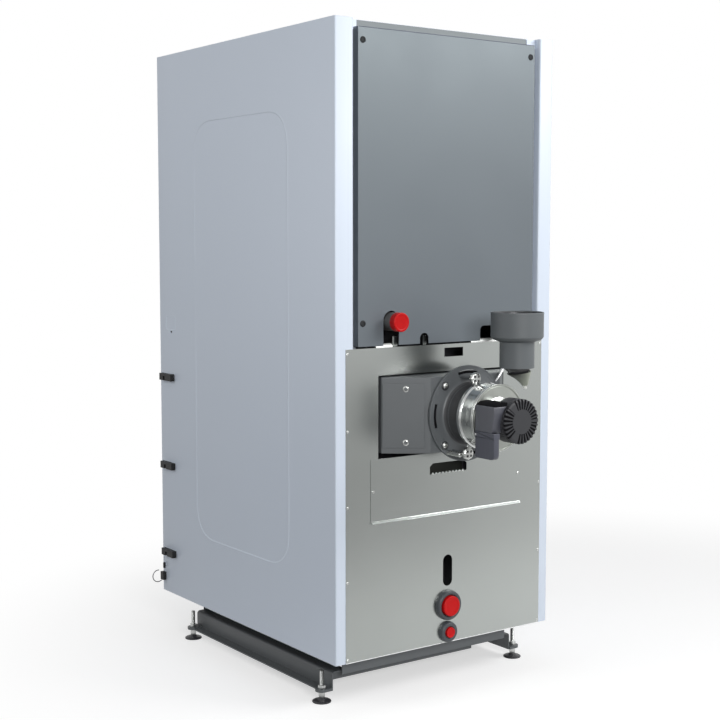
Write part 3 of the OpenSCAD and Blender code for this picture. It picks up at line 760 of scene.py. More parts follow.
class BOILER_OT_rear_panels(bpy.types.Operator):
    """Makes the grey upper panel, the bare lower panel, the access cover and their screws"""

    bl_idname = "boiler.rear_panels"
    bl_label = "Rear panels"

    def execute(self, context):
        sizes = context.scene.boiler_sizes
        edge = sizes.sheet_edge
        soften("rear_upper_panel", "panel_grey", edge)
        soften("rear_lower_panel", "bare_sheet", 1.5 * edge)
        soften("rear_access_cover", "bare_sheet", 1.3 * edge)
        self.make_bends()
        soften("access_handle", "black_plastic", edge)
        self.make_screws()
        self.make_hand_hole(sizes.grip_ribs)
        return {"FINISHED"}

    def make_bends(self):
        """Folded edges, pale as painted highlights: the lower panel's foot and top, and the access
        cover's drip edge.
        """
        lo, hi = span("rear_lower_panel")
        # pale tube along the lower panel's foot: painted highlight
        foot = [(x, hi[1] - 0.2, lo[2] + 0.85) for x in np.linspace(lo[0] + 1, hi[0] - 1, 12)]
        add_piece("lower_panel_foot", [tube(foot, 0.8, (0, 0, 1), 10)], "bare_sheet", finish="edge_painted_highlight")
        # pale bends at the lower panel's top: painted highlight
        bend_y, bend_z, outer, inner = -7.3, 694.0, 8.62, 7.4
        turn = np.linspace(0, np.pi / 2, 9)
        section = np.concatenate([np.stack([bend_y + r * np.cos(a), bend_z + r * np.sin(a)], -1)
                                  for r, a in ((outer, turn), (inner, turn[::-1]))])
        for name, x0, x1 in (("lower_panel_bend_right", 160, 205), ("lower_panel_bend_left", -240, -66)):
            bend = loft(section, [(x0 + 0.3, 0), (x1 - 0.3, 0)], "x")
            add_piece(name, [bend], "bare_sheet", finish="bend_painted_highlight")
        lo, hi = span("rear_access_cover")
        y, z = hi[1], lo[2]
        # pale drip edge: painted highlight
        drip = [(2.45, z + 4.9), (y - 0.2, z + 1.2), (y - 1.2, z + 0.4), (2.3, z + 3)]
        add_piece("cover_drip_edge", [loft(drip, [(lo[0] + 2, 0), (hi[0] - 3, 0)], "x")], "bare_sheet",
                  finish="drip_painted_highlight")

    def make_screws(self):
        """Dark screws of the upper panel, small bright ones of the lower panel and the cover's pair."""
        sides = (-1, 1)
        places = [(side * 241, 1.7, z) for side in sides for z in (749, 1355)]
        add_piece("upper_panel_screws", screws(places, 7.2, 2.4, "hex"), "black_plastic",
                  finish="screw_dark")
        front = span("rear_lower_panel")[1][1]
        behind_fan = (-1, 515)
        places = [(side * 281, front, z) for side in sides for z in (8, 181, 348, 515, 684)
                  if (side, z) != behind_fan]
        heads = screws(places, 2.9, 1.3, count=24) + screws([(-237, front, 578)], 2.6, 1.0, count=24)
        add_piece("lower_panel_screws", heads, "bright_steel", finish="screw_steel")
        places = [(side * 213, 2.4, 376.6) for side in sides]
        add_piece("access_cover_screws", screws(places, 3.4, 1.6, count=24), "bright_steel",
                  finish="screw_steel")

    def make_hand_hole(self, ribs):
        """Teeth along the hand hole's lower edge, whose height is 4 sin^2 of the place along it, pale as
        a painted highlight, and a dark plate at its back as painted shade."""
        left, right, foot, root = -48, 50, 396.5, 398.8
        place = np.linspace(left, right, 17 * ribs)
        tooth = root + 4.0 * np.sin((place - left) * np.pi * ribs / (right - left)) ** 2
        outline = np.concatenate([np.stack([place, tooth], -1), [(right, foot), (left, foot)]])
        # pale teeth: painted highlight
        add_piece("access_handle_teeth", [loft(outline, [(1.25, 0), (2.3, 0)], "y")], "bare_sheet",
                  finish="drip_painted_highlight")
        # dark plate behind the hole: painted shade
        lining = plate((-53, 53), (-13.6, -13), (396, 426))
        add_piece("access_handle_hole_shade", [lining], "black_plastic", finish="hole_painted_shade")


# ---------------------------------------------------------------- flue box and fan


class BOILER_OT_flue_box(bpy.types.Operator):
    """Makes the flue box, its screwed cover and the strap at its top, painted near white as a highlight
    """

    bl_idname = "boiler.flue_box"
    bl_label = "Flue box"

    def execute(self, context):
        sizes = context.scene.boiler_sizes
        soften("flue_box", "frame_paint", sizes.box_edge, segments=3)
        soften("flue_box_cover", "frame_paint", sizes.frame_edge)
        # the two screws stand on the box's slanting side, which rises to the full depth at face_x
        _, hi = span("flue_box")
        face_x = 101.0
        along = np.array([face_x - hi[0], hi[1]]) / np.hypot(face_x - hi[0], hi[1])
        out = np.array([along[1], -along[0], 0])
        place = (hi[0], 0) + along * 54 + out[:2] * 0.3
        heads = screws([(*place, z) for z in (484, 603)], 7.2, 3.6, "hex", out, skirt=0.12, depth=0.85)
        add_piece("flue_cover_screws", heads, "bright_steel", finish="screw_steel")
        # near-white strap: painted highlight
        strap = [(-106, 64, 634), (-100, 66, 629), (-92, 70.5, 622), (-80, 72, 611.5)]
        add_piece("flue_box_strap", [tube(strap, 4.6, REARWARDS, 12, taper=0.4)], "bright_steel",
                  finish="painted_highlight_white")
        return {"FINISHED"}


# radii of the fan flange's features, and the fillet between its face and its neck
NECK_R = 66.0
FLANGE_FILLET = 10.5
SLOT_R = (90.3, 96.7)
FLANGE_SCREW_R = 94.0


def flange_surface(axis, root, face, front, rim):
    """Front of the fan flange as a height field over (radius, angle): flat face, quarter-round fillet
    up the neck, four arc slots sunk 7.5 mm deep, a groove near the rim and shallow outlines by the
    screws."""
    near = [NECK_R + FLANGE_FILLET * share for share in (0, 0.02, 0.08, 0.18, 0.32, 0.5, 0.7, 0.88, 1)]
    stops = [0, NECK_R - 6, *near, 82.5, 86.2, 86.6, 88, 90.0, *SLOT_R, 97.0, 97.4, 97.8, 101, 102.5,
             102.8, 103.5, 103.7, rim - 1.4, rim - 0.5, rim, rim]
    r = np.array(stops, float)[:, None]
    angle = full_turn(720)
    t = np.clip((NECK_R + FLANGE_FILLET - r) / FLANGE_FILLET, 0, 1)
    height = face + FLANGE_FILLET * (1 - np.sqrt(1 - t**2)) + 0 * angle
    middle_r, half_width = sum(SLOT_R) / 2, (SLOT_R[1] - SLOT_R[0]) / 2
    height -= 7.5 * slot_mask(r, angle, middle_r, half_width, 0.0, math.radians(16.5))
    outline = slot_mask(r, angle, 92, 5.6, math.radians(45), math.radians(9.5))
    core = slot_mask(r, angle, 92, 4.9, math.radians(45), math.radians(9.0))
    groove = (r > 102.7) & (r < 103.6)
    height -= 0.5 * (outline - core) + 0.4 * groove
    height[:3] = front
    height[-2:] = [[face - 0.5], [root]]
    points = polar(r, angle, height, "y")
    return grid(np.concatenate([points, closing_ring(root, len(angle))]) + np.array(axis))


def around_axis(radius, turn, y):
    """Points at a radius from the axis, at each turn from the top, in the plane y."""
    return np.stack([radius * np.sin(turn), y + 0 * turn, radius * np.cos(turn)], -1)


def closing_ring(y, count):
    """Ring of count points that all lie on the axis, at height y."""
    return np.full((1, count, 3), (0, y, 0), float)


def slot_mask(r, angle, middle_r, half_width, offset, half_angle):
    """1 inside the four arc slots that lie every quarter turn from the offset, else 0."""
    turn = np.abs((angle - offset + np.pi / 4) % (np.pi / 2) - np.pi / 4)
    return ((turn <= half_angle) & (np.abs(r - middle_r) <= half_width + 0.01)) * 1.0


def ring_sector(at, inner, outer, face, middle_angle, half):
    """Flat plate, 1 mm thick, between two radii and within half degrees of an angle from the top."""
    t = np.radians(np.linspace(middle_angle - half, middle_angle + half, 17))
    outline = np.concatenate([np.stack([at[0] + r * np.sin(a), at[2] + r * np.cos(a)], -1)
                              for r, a in ((inner, t), (outer, t[::-1]))])
    return loft(outline, [(face - 1, 0), (face, 0)], "y")


def cap_surface(centre, back, end, rim, disc, slots):
    """End cap: a turned profile whose points sink along the profile's normal inside the slots. The
    slots lie between the middle disc and the rim, and three sectors between them stay solid."""
    base = contour([
        (0, end, 0), (disc, end, 1), (rim - 5, end - 0.6, 2), (rim - 0.6, end - 2.2, 1.5),
        (rim, end - 4.5, 1.5), (rim - 1.4, back, 0),
    ], steps=3)
    length = np.concatenate([[0], np.cumsum(np.hypot(*np.diff(base, axis=0).T))])
    place = np.linspace(0, length[-1], 72)
    profile = np.stack([np.interp(place, length, base[:, k]) for k in (0, 1)], -1)
    edge = np.gradient(profile, axis=0)
    normal = np.stack([edge[:, 1], -edge[:, 0]], -1)
    normal /= np.maximum(np.hypot(*normal.T), 1e-6)[:, None]
    count = slots * 16
    angle = full_turn(count)
    phase = (angle * slots / (2 * np.pi)) % 1
    inside = np.clip((0.27 - np.abs(phase - 0.5)) / 0.05, 0, 1)
    for middle_angle, half in ((52, 12), (-58, 12), (180, 5)):
        gap = np.abs((np.degrees(angle) - middle_angle + 180) % 360 - 180)
        inside = np.where(gap < half, 0, inside)
    r, y = profile.T
    depth = 5.5 * np.clip((r - disc - 1.5) / 1.0, 0, 1) * np.clip((y - end + 7.5) / 0.8, 0, 1)
    sink = depth[:, None] * inside[None, :]
    points_r = r[:, None] + normal[:, :1] * sink
    points_y = y[:, None] + normal[:, 1:] * sink
    points = polar(points_r, angle, points_y, "y")
    return grid(np.concatenate([points, closing_ring(back, count)]) + np.array(centre))


def wheel_head(radius, height, holes=4):
    """Hand wheel: a domed disc with wavy rim; between its spokes it sinks into round wells."""
    share = np.array([0, 0.10, 0.18, 0.24, 0.30, 0.38, 0.46, 0.54, 0.62, 0.68, 0.74, 0.80, 0.87, 0.94, 1])
    angle = full_turn(96)
    r = share[:, None] * radius * (1 + 0.04 * np.cos(holes * 2 * angle) * share[:, None] ** 4)
    u, v = r * np.cos(angle), r * np.sin(angle)
    top = height * np.sqrt(np.clip(1 - (share[:, None] * 0.96) ** 6, 0, 1)) + 0 * angle
    for k in range(holes):
        a = (k + 0.5) * 2 * np.pi / holes
        far = np.hypot(u - 0.52 * radius * np.cos(a), v - 0.52 * radius * np.sin(a)) / radius
        top -= height * 0.9 * np.clip((0.20 - far) / 0.05, 0, 1)
    foot = -3.0
    return footed(u, v, top, [(1.0, foot), (0.0, foot)])


def clamp_parts(node, fan_z):
    """Clamp of the housing, as three lists of parts: the bright wheel and lug, the dark nut and the
    black floors of the wheel's wells as painted shade, and the pin. The lug points from the fan's axis to
    the wheel."""
    lo, hi = span(node)
    front, wheel_r = hi[1], 14.0
    x = hi[0] - wheel_r if abs(lo[0]) < abs(hi[0]) else lo[0] + wheel_r
    z = hi[2] - wheel_r if hi[2] > fan_z else lo[2] + wheel_r
    at = (x, 0, z)
    pin = turned([(0, lo[1]), (3, lo[1]), (3, front - 8), (0, front - 8)], at, "y", 24)
    nut = turned([(0, front - 20), (7, front - 20), (7, front - 15), (0, front - 15)], at, "y", 6)
    wheel = facing(wheel_head(wheel_r - 0.6, 6), (x, front - 6.5, z), REARWARDS)
    # black floors in the wells: painted shade of the wheel's holes
    floor = [(0, front - 6), (2.5, front - 6), (2.5, front - 3), (0, front - 3)]
    wells = [turned(floor, (x + 7 * math.cos(turn), 0, z + 7 * math.sin(turn)), "y", 20)
             for turn in (np.arange(4) + 0.5) * np.pi / 2]
    reach = math.hypot(x, z - fan_z)
    points, faces = loft(filleted([(-7, 66), (7, 66), (5.5, reach), (-5.5, reach)], 2),
                         soft_ends(front - 14, front - 9, 0.8), "y")
    u, y, w = points.T
    c, s = (z - fan_z) / reach, x / reach
    lug = np.stack([u * c + w * s, y, fan_z - u * s + w * c], -1)
    return [wheel, (lug, faces)], [nut, *wells], [pin]


class BOILER_OT_fan(bpy.types.Operator):
    """Makes the fan flange, the bright housing with its front plate, and the clamps"""

    bl_idname = "boiler.fan"
    bl_label = "Fan"

    def execute(self, context):
        at = axis_foot("fan_housing", "y")
        lo, hi = span("fan_flange")
        rim, root, front = (hi[0] - lo[0]) / 2, lo[1], hi[1]
        face = root + 6
        self.make_flange(at, root, face, front, rim)
        self.make_housing(at)
        for node in ("fan_clamp_top", "fan_clamp_bottom"):
            bright, wells, pin = clamp_parts(node, at[2])
            add_piece(node + "_wheel", bright, "bright_steel", (node,), finish="screw_steel")
            # dark nut, and black well floors as painted shade
            add_piece(node + "_wells", wells, "black_plastic")
            add_piece(node + "_pin", pin, "frame_paint")
        stud = contour([(0, face, 0), (5.5, face, 0), (5.5, 113, 1), (4, 115, 1), (0, 115, 0)])
        add_piece("flange_stud", [turned(stud, (57, 0, 459), "y", 24)], "bright_steel",
                  finish="screw_steel")
        return {"FINISHED"}

    def make_flange(self, at, root, face, front, rim):
        """Casting with a neck darkened as painted shade, slots floored black as painted shade with one
        edge painted white as a highlight, and three bolts over black discs offset as painted shadows.
        """
        add_piece("fan_flange_casting", [flange_surface(at, root, face, front, rim)], "frame_paint",
                  ("fan_flange",), sharp=28)
        # dark skin over the casting's neck and fillet: painted shade
        turn = np.linspace(0, 0.95, 8)
        fillet = np.stack([NECK_R + 0.2 + FLANGE_FILLET * (1 - np.cos(turn)),
                           face + 0.15 + FLANGE_FILLET * (1 - np.sin(turn))], -1)
        neck = [(NECK_R + 0.2, front), *fillet]
        add_piece("fan_flange_neck_shade", [turned(neck, at, "y", 128)], "frame_paint", finish="neck_painted_shade")
        # black plates on the slot floors: painted shade
        inner, outer = SLOT_R[0] + 0.1, SLOT_R[1] - 0.1
        slots = [ring_sector(at, inner, outer, face - 1.2, 90 * k, 16.3) for k in range(3)]
        add_piece("fan_flange_slots", slots, "black_plastic", finish="painted_shade_black")
        # white tube along one slot's upper edge: painted highlight
        turn = np.linspace(-0.16, 0.24, 16)
        edge = at + around_axis(SLOT_R[1] + 0.7, turn, face + 0.1)
        add_piece("fan_flange_slot_highlight", [tube(edge, 0.5, REARWARDS, 10)], "bright_steel",
                  finish="painted_highlight_white")
        places = at + around_axis(FLANGE_SCREW_R, np.radians([45, 135, 225]), face)
        heads = screws(places + (0, 1.4, 0), 7.0, 5.2, "hex", depth=0.85)
        # black discs offset down and towards -x from each screw: painted shadows
        screw_shadows = screws(places + (-1.5, 0, -1.5), 10.2, 1.2, "none")
        add_piece("flange_screws", heads, "bright_steel", finish="screw_steel")
        add_piece("flange_screw_shadows", screw_shadows, "black_plastic")

    def make_housing(self, at):
        """Drum with a bead near its back and a rolled rim, and the front plate inside the rim."""
        lo, hi = span("fan_housing")
        r, back, front = (hi[0] - lo[0]) / 2, lo[1], hi[1]
        seat = front - 8
        drum = contour([
            (0, back, 0), (r - 2, back, 0.8), (r, back + 1, 0.8), (r, back + 9.5, 1),
            (r - 1.4, back + 10.6, 0.5), (r - 1.4, back + 12.4, 0.5), (r - 2.4, back + 13, 1),
            (r - 2.1, back + 30, 4), (r - 2.4, front - 7.6, 1), (r - 0.6, front - 7, 0.5),
            (r - 0.4, front - 5.2, 1), (r - 1.4, front - 4.4, 0.3), (r - 0.3, front - 3.6, 0.8),
            (r - 0.2, front - 0.8, 0.4), (r - 0.6, front - 0.3, 0.3), (r - 3, front - 0.3, 0),
            (r - 3, seat, 0), (0, seat, 0),
        ])
        add_piece("fan_housing_drum", [turned(drum, at, "y", 192)], "bright_steel", ("fan_housing",))
        face = span("fan_front_plate")[1][1]
        disc = contour([
            (0, seat, 0), (r - 0.7, seat, 0), (r - 0.7, front - 0.2, 0.2), (r - 1, front, 0.2),
            (r - 4.2, front, 0.3), (r - 4.6, front - 0.4, 0.2), (r - 4.6, face - 0.9, 0),
            (r - 5.5, face - 0.9, 0), (r - 5.5, face - 0.3, 0.2), (r - 6, face, 0.3), (0, face, 0),
        ])
        add_piece("fan_front_disc", [turned(disc, at, "y", 192)], "bare_sheet", ("fan_front_plate",),
                  finish="plate_steel")


class BOILER_OT_motor(bpy.types.Operator):
    """Makes the motor: bright neck, finned body, slotted end cap, terminal box and connector"""

    bl_idname = "boiler.motor"
    bl_label = "Motor"

    def execute(self, context):
        sizes = context.scene.boiler_sizes
        at = axis_foot("fan_housing", "y")
        self.make_body(at, sizes.motor_fins)
        lo, hi = span("motor_end_cap")
        end = hi[1] - 1.3
        # black wall behind the cap's slots: painted shade
        wall = [(0, lo[1]), (47.0, lo[1]), (48.0, hi[1] - 5), (46.4, hi[1] - 3), (43.5, hi[1] - 1.9),
                (27, end), (0, end)]
        add_piece("motor_cap_wall", [turned(wall, at, "y", 128)], "motor_black", finish="painted_shade_black")
        add_piece("motor_cap", [cap_surface(at, lo[1], hi[1], (hi[0] - lo[0]) / 2, 25, sizes.cap_slots)],
                  "motor_black", ("motor_end_cap",), finish="cap_plastic", sharp=40)
        self.make_terminal_box()
        self.make_connector()
        return {"FINISHED"}

    def make_body(self, at, fins):
        """Neck, and a body whose radius sinks by 2% of a clipped cosine between its fins."""
        lo, hi = span("fan_motor")
        neck_end, neck_r, r = lo[1] + 33, 44.0, (hi[0] - lo[0]) / 2
        neck = contour([
            (0, lo[1], 0), (neck_r + 2, lo[1], 0), (neck_r + 2, lo[1] + 1.6, 0.4),
            (neck_r, lo[1] + 2.4, 0.4), (neck_r, neck_end + 1, 0), (0, neck_end + 1, 0),
        ])
        add_piece("motor_neck", [turned(neck, at, "y", 128)], "bright_steel")
        count = fins * 8
        angle = full_turn(count)
        wave = np.clip(0.5 + 0.9 * np.cos(angle * fins), 0, 1)
        body = np.array([(0, neck_end), (r - 2, neck_end), (r - 0.5, neck_end + 0.6), (r, neck_end + 2),
                         (r, neck_end + 4), (r, neck_end + 20), (r, hi[1] - 3), (r, hi[1]), (0, hi[1])])
        cut = np.clip((body[:, 1] - neck_end - 3) / 2, 0, 1) * np.clip((hi[1] - body[:, 1]) / 1.5, 0, 1)
        scale = 1 - 0.02 * cut[:, None] * wave[None, :]
        add_piece("motor_body", [turned(body, at, "y", count, scale)], "motor_black", ("fan_motor",))

    def make_terminal_box(self):
        """Box whose rear face leans outwards and then curves up, under a black sloping plate that is
        painted shade on its top.
        """
        lo, hi = span("motor_terminal_box")
        lean, curve_top, box_width, lid_width = 7.0, hi[2] - 14, 39, 38
        outline = contour([
            (lo[1], lo[2], 2.5), (hi[1] - lean, lo[2], 2.5), (hi[1], curve_top, 20),
            (hi[1], hi[2], 2.5), (lo[1], hi[2], 2.5),
        ], closed=True, steps=5)
        # black sloping plate on the box's top: painted shade
        lid = [(hi[0] - 2.6, hi[2] - 0.6), (hi[0] - 2.6, hi[2] + 0.7), (hi[0] - 14, hi[2] + 7.2),
               (hi[0] - lid_width, hi[2] + 8.4), (hi[0] - lid_width, hi[2] - 0.6)]
        add_piece("terminal_box_top_shade", [loft(lid, [(lo[1] - 1, 0), (hi[1] - 1.5, 0)], "y")],
                  "black_plastic", finish="painted_shade_black")
        ends = soft_ends(hi[0] - box_width, hi[0], 1.2, 3, flat=0.2)
        add_piece("terminal_box_shell", [loft(outline, ends, "x")], "black_plastic",
                  ("motor_terminal_box",), finish="terminal_plastic")

    def make_connector(self):
        """Connector with a round lower corner, a collar around its upper part and a rivet."""
        lo, hi = span("motor_connector_box")
        outline = contour([
            (lo[1], hi[2], 0.5), (hi[1], hi[2], 0.5), (hi[1], lo[2], 12), (lo[1], lo[2], 6),
        ], closed=True, steps=6)
        collar_foot = hi[2] - 13
        collar = [(lo[1] - 0.6, collar_foot), (hi[1] + 0.6, collar_foot), (hi[1] + 0.6, hi[2]),
                  (lo[1] - 0.6, hi[2])]
        shell = loft(outline, soft_ends(lo[0] + 1.2, hi[0] - 1.2, 2.0, 4), "x")
        band = loft(filleted(collar, 0.8), soft_ends(lo[0], hi[0], 1.0, 3), "x")
        add_piece("connector_box_shell", [shell, band], "black_plastic", ("motor_connector_box",),
                  finish="box_plastic")
        rivet = screws([(hi[0], lo[1] + 4, hi[2] - 7)], 2.4, 1.4, "none", (1, 0, 0), count=20)
        add_piece("connector_rivet", rivet, "bright_steel", finish="screw_steel")


# ---------------------------------------------------------------- flue adapter and pipe stubs


def funnel(centre, rows, count=64):
    """Tilted funnel: each row holds x, z, radius and tilt of a ring about its own middle; a ring's point
    at angle a lies at x + r cos(a) cos(tilt), y + r sin(a), z + r cos(a) sin(tilt)."""
    x, z, radius, tilt = (column[:, None] for column in np.asarray(rows, float).T)
    angle = full_turn(count)
    tilt = np.radians(tilt)
    u = x + radius * np.cos(angle) * np.cos(tilt)
    w = z + radius * np.cos(angle) * np.sin(tilt)
    return grid(arrange(u, centre + radius * np.sin(angle), w, "z"))


class BOILER_OT_adapter(bpy.types.Operator):
    """Makes the flue adapter, its drain spout and its bracket"""

    bl_idname = "boiler.adapter"
    bl_label = "Flue adapter"

    def execute(self, context):
        at = axis_foot("flue_adapter", "z")
        lo, hi = span("flue_adapter")
        low, top, rim = lo[2], hi[2], (hi[0] - lo[0]) / 2
        bore, inner, tube_r = 55.5, 36.0, 38.2
        shoulder, seat = low + 54, low + 67
        profile = contour([
            (inner, low, 0), (tube_r, low, 0.5), (tube_r, shoulder + 3, 1.5), (rim - 5, seat - 4.5, 3),
            (rim - 0.2, seat + 1, 2), (rim - 0.2, top - 6, 0.5), (rim, top - 5, 0.5), (rim, top, 1.2),
            (bore, top, 1.0), (bore, seat + 1, 2), (inner, seat - 3, 2), (inner, low, 0),
        ], steps=6)
        add_piece("flue_adapter_socket", [turned(profile, at, "z", 128)], "grey_plastic",
                  ("flue_adapter",))
        self.make_spout(at, low, inner)
        seal = contour([
            (bore + 0.3, top - 2, 0), (bore - 2, top - 3.2, 0.8), (bore - 2.6, top - 8, 2),
            (bore + 0.3, top - 13, 0),
        ])
        add_piece("flue_adapter_seal", [turned(seal, at, "z", 128)], "grey_rubber",
                  finish="black_plastic")
        soften("adapter_bracket", "frame_paint", context.scene.boiler_sizes.frame_edge)
        return {"FINISHED"}

    def make_spout(self, at, low, inner):
        """Plug that fills the tube's foot, black as painted shade under the tube, spout that leans from
        it, and a nozzle at its tip, pale as a painted highlight.
        """
        x, y, _ = at
        spout = [(-58.5, 637.6, 0, -8), (-58.5, 638.2, 23, -8), (-58.5, 640.4, 25.7, -8),
                 (-58.5, 640.0, 26.5, -8), (-58.8, 638.2, 26.2, -8), (-62.8, 631, 21.0, -2),
                 (-66.6, 625.4, 16.8, 4), (-70, 620, 13.1, 8), (-73, 614.6, 9.6, 10),
                 (-74.5, 611, 7.5, 10), (-75.2, 610, 6.2, 6), (-75.5, 609, 5.4, 0)]
        # pale nozzle: painted highlight
        nozzle = [(-75.5, 611, 0, 0), (-75.5, 611, 4.6, 0), (-75.8, 604.6, 4.4, 0),
                  (-75.8, 603.2, 3.6, 0), (-75.8, 603, 0, 0)]
        # black plug: painted shade in the gap under the tube's foot
        plug = [(x, low + 8, 0, 0), (x, low + 8, inner - 0.2, 0), (x, low + 2, inner - 0.2, 0),
                (x - 1, low - 0.5, inner - 6, -2), (-56.5, 641, 22, -5), (-58.5, 637.5, 21, -8),
                (-58.5, 637, 0, -8)]
        add_piece("adapter_spout", [funnel(y, spout)], "spout_plastic", ("adapter_cone",))
        add_piece("adapter_nozzle", [funnel(y, nozzle)], "spout_plastic", finish="nozzle_painted_highlight")
        add_piece("adapter_plug", [funnel(y, plug)], "black_plastic")


def cap_part(node, back, share):
    """Push-on cap: turned profile with a rounded rim and a slightly dished face; share sets its radius
    against the solid's."""
    lo, hi = span(node)
    r, front, dish = (hi[0] - lo[0]) / 2 * share, hi[1], 0.6
    profile = contour([
        (0, back, 0), (r, back, 0.2), (r, front - 0.2, 2.0), (r * 0.80, front, 1.5),
        (r * 0.72, front - dish, 1.5), (0, front - dish, 0),
    ])
    return turned(profile, axis_foot(node, "y"), "y", 72)


class BOILER_OT_pipes(bpy.types.Operator):
    """Makes the pipe stubs with their grommets and red caps"""

    bl_idname = "boiler.pipes"
    bl_label = "Pipe stubs"

    def execute(self, context):
        lo, hi = span("flow_pipe")
        r = (hi[0] - lo[0]) / 2
        pipe = contour([(0, lo[1], 0), (r, lo[1], 0.5), (r, hi[1], 0.5), (0, hi[1], 0)])
        add_piece("flow_pipe_stub", [turned(pipe, axis_foot("flow_pipe", "y"), "y", 72)], "pipe_steel",
                  ("flow_pipe",))
        behind_panel = -60
        for node, back, share in (
            ("flow_cap", span("flow_cap")[0][1], 1),
            ("return_cap", behind_panel, 0.94),
            ("drain_cap", behind_panel, 0.96),
        ):
            add_piece(node + "_red", [cap_part(node, back, share)], "red_cap", (node,))
        for node, bore in (("return_grommet", 25.0), ("drain_grommet", 12.7)):
            lo, hi = span(node)
            r, back, front = (hi[0] - lo[0]) / 2, lo[1], hi[1]
            profile = contour([
                (bore, back, 0), (r, back, 0.3), (r, back + 2.5, 1), (r - 1.2, front - 2.5, 1.8),
                (r - 3.4, front, 1.8), (bore + 2, front, 1.4), (bore, front - 1.8, 0.8),
                (bore, back, 0),
            ])
            add_piece(node + "_ring", [turned(profile, axis_foot(node, "y"), "y", 96)], "grey_rubber",
                      (node,))
        return {"FINISHED"}


# ---------------------------------------------------------------- fittings on the side panel


class BOILER_OT_side_fittings(bpy.types.Operator):
    """Makes the cable clips, the ring with its eye and the pin on the right side panel"""

    bl_idname = "boiler.side_fittings"
    bl_label = "Side fittings"

    def execute(self, context):
        edge = context.scene.boiler_sizes.frame_edge
        for node in ("cable_clip_upper", "cable_clip_middle", "cable_clip_lower", "ring_bracket",
                     "side_pin"):
            soften(node, "black_plastic", edge, finish="clip_black")
        lo, hi = span("hanger_ring")
        wire_r = (hi[1] - lo[1]) / 2
        ring_r = (hi[0] - lo[0]) / 2 - wire_r
        start, end = 150, 455
        angle = np.radians(np.linspace(start, end, 60))
        ring = np.stack([ring_r * np.cos(angle), 0 * angle, ring_r * np.sin(angle)], -1)
        path = middle("hanger_ring") + ring
        add_piece("hanger_ring_wire", [tube(path, wire_r, REARWARDS)], "bright_steel", ("hanger_ring",),
                  finish="ring_steel")
        return {"FINISHED"}


# ---------------------------------------------------------------- stage


def area_lamp(name, place, target, width, height, power):
    """Rectangular lamp at place that faces the target, both in metres."""
    data = bpy.data.lights.new(name, "AREA")
    data.shape = "RECTANGLE"
    data.size, data.size_y = width, height
    data.energy = power
    lamp = bpy.data.objects.new(name, data)
    bpy.context.scene.collection.objects.link(lamp)
    lamp.location = place
    direction = Vector(target) - Vector(place)
    lamp.rotation_euler = direction.to_track_quat("-Z", "Y").to_euler()


class Studio(Wiring):
    """Nodes of the floor or the surroundings, which treat each kind of ray on its own."""

    def __init__(self, tree):
        tree.nodes.clear()
        super().__init__(tree)
        self.gloss = self.add("LightPath", {}, "Is Glossy Ray")
        path = self.gloss.node.outputs
        # 1 for what the camera sees directly or through a clear material
        self.seen = self.math("MAXIMUM", path["Is Camera Ray"], path["Is Transmission Ray"])

    def distance(self, centre):
        """Distance of a place from the centre."""
        moved = self.add("VectorMath", {0: self.place, 1: centre}, operation="SUBTRACT")
        return self.add("VectorMath", {0: moved}, "Value", operation="LENGTH")


def floor_material(camera_glow=0.53, matt_shade=0.61):
    """Pale matt floor. The camera sees it lifted to white, and gloss sees it dimmer near the object
    and towards its left, x + 0.8 y; the object's shadow stays, and fades out away from it."""
    material = bpy.data.materials.new("pale_floor")
    material.use_nodes = True
    studio = Studio(material.node_tree)
    across = studio.along_x(studio.place)
    lean = studio.math("MULTIPLY_ADD", across.node.outputs["Y"], 0.8, across)
    near_gloss = studio.ramp(lean, -0.60, 0.72, 0.9, 0.43)
    far_gloss = studio.ramp(studio.distance((0, 0, 0)), 4.0, 9.0, 0, 1.0)
    gloss = studio.math("MULTIPLY", studio.gloss, studio.math("MAXIMUM", near_gloss, far_gloss))
    lift = studio.math("MULTIPLY", studio.seen, camera_glow)
    near_glow = studio.add("Emission", {"Strength": studio.math("MULTIPLY_ADD", gloss, 0.7, lift)})
    far_glow = studio.add("Emission", {"Strength": studio.math("ADD", gloss, studio.seen)})
    matt = studio.add("BsdfDiffuse", {"Color": (matt_shade,) * 3 + (1,)})
    near = studio.add("AddShader", {0: matt, 1: near_glow})
    fade = studio.ramp(studio.distance((-0.6, 0.1, 0)), 0.75, 1.75, 0, 1)
    studio.add("OutputMaterial", {"Surface": studio.add("MixShader", {0: fade, 1: near, 2: far_glow})})
    return material


def studio_world(sky):
    """White surroundings for the camera; for gloss, walls that brighten upwards and towards -x; and a
    gentle sky for matt light."""
    world = bpy.data.worlds.new("studio")
    bpy.context.scene.world = world
    world.use_nodes = True
    studio = Studio(world.node_tree)
    across = studio.along_x(studio.place.node.outputs["Generated"])
    wall = studio.ramp(across.node.outputs["Z"], -0.15, 0.35, 0.75, 1.0)
    turn = studio.ramp(across, -0.75, -0.35, 1.05, 0.80)
    unseen = studio.choose(studio.gloss, sky, studio.math("MULTIPLY", wall, turn))
    strength = studio.choose(studio.seen, unseen, 1.0)
    light = studio.add("Background", {"Color": (1, 1, 1, 1), "Strength": strength})
    studio.add("OutputWorld", {"Surface": light})


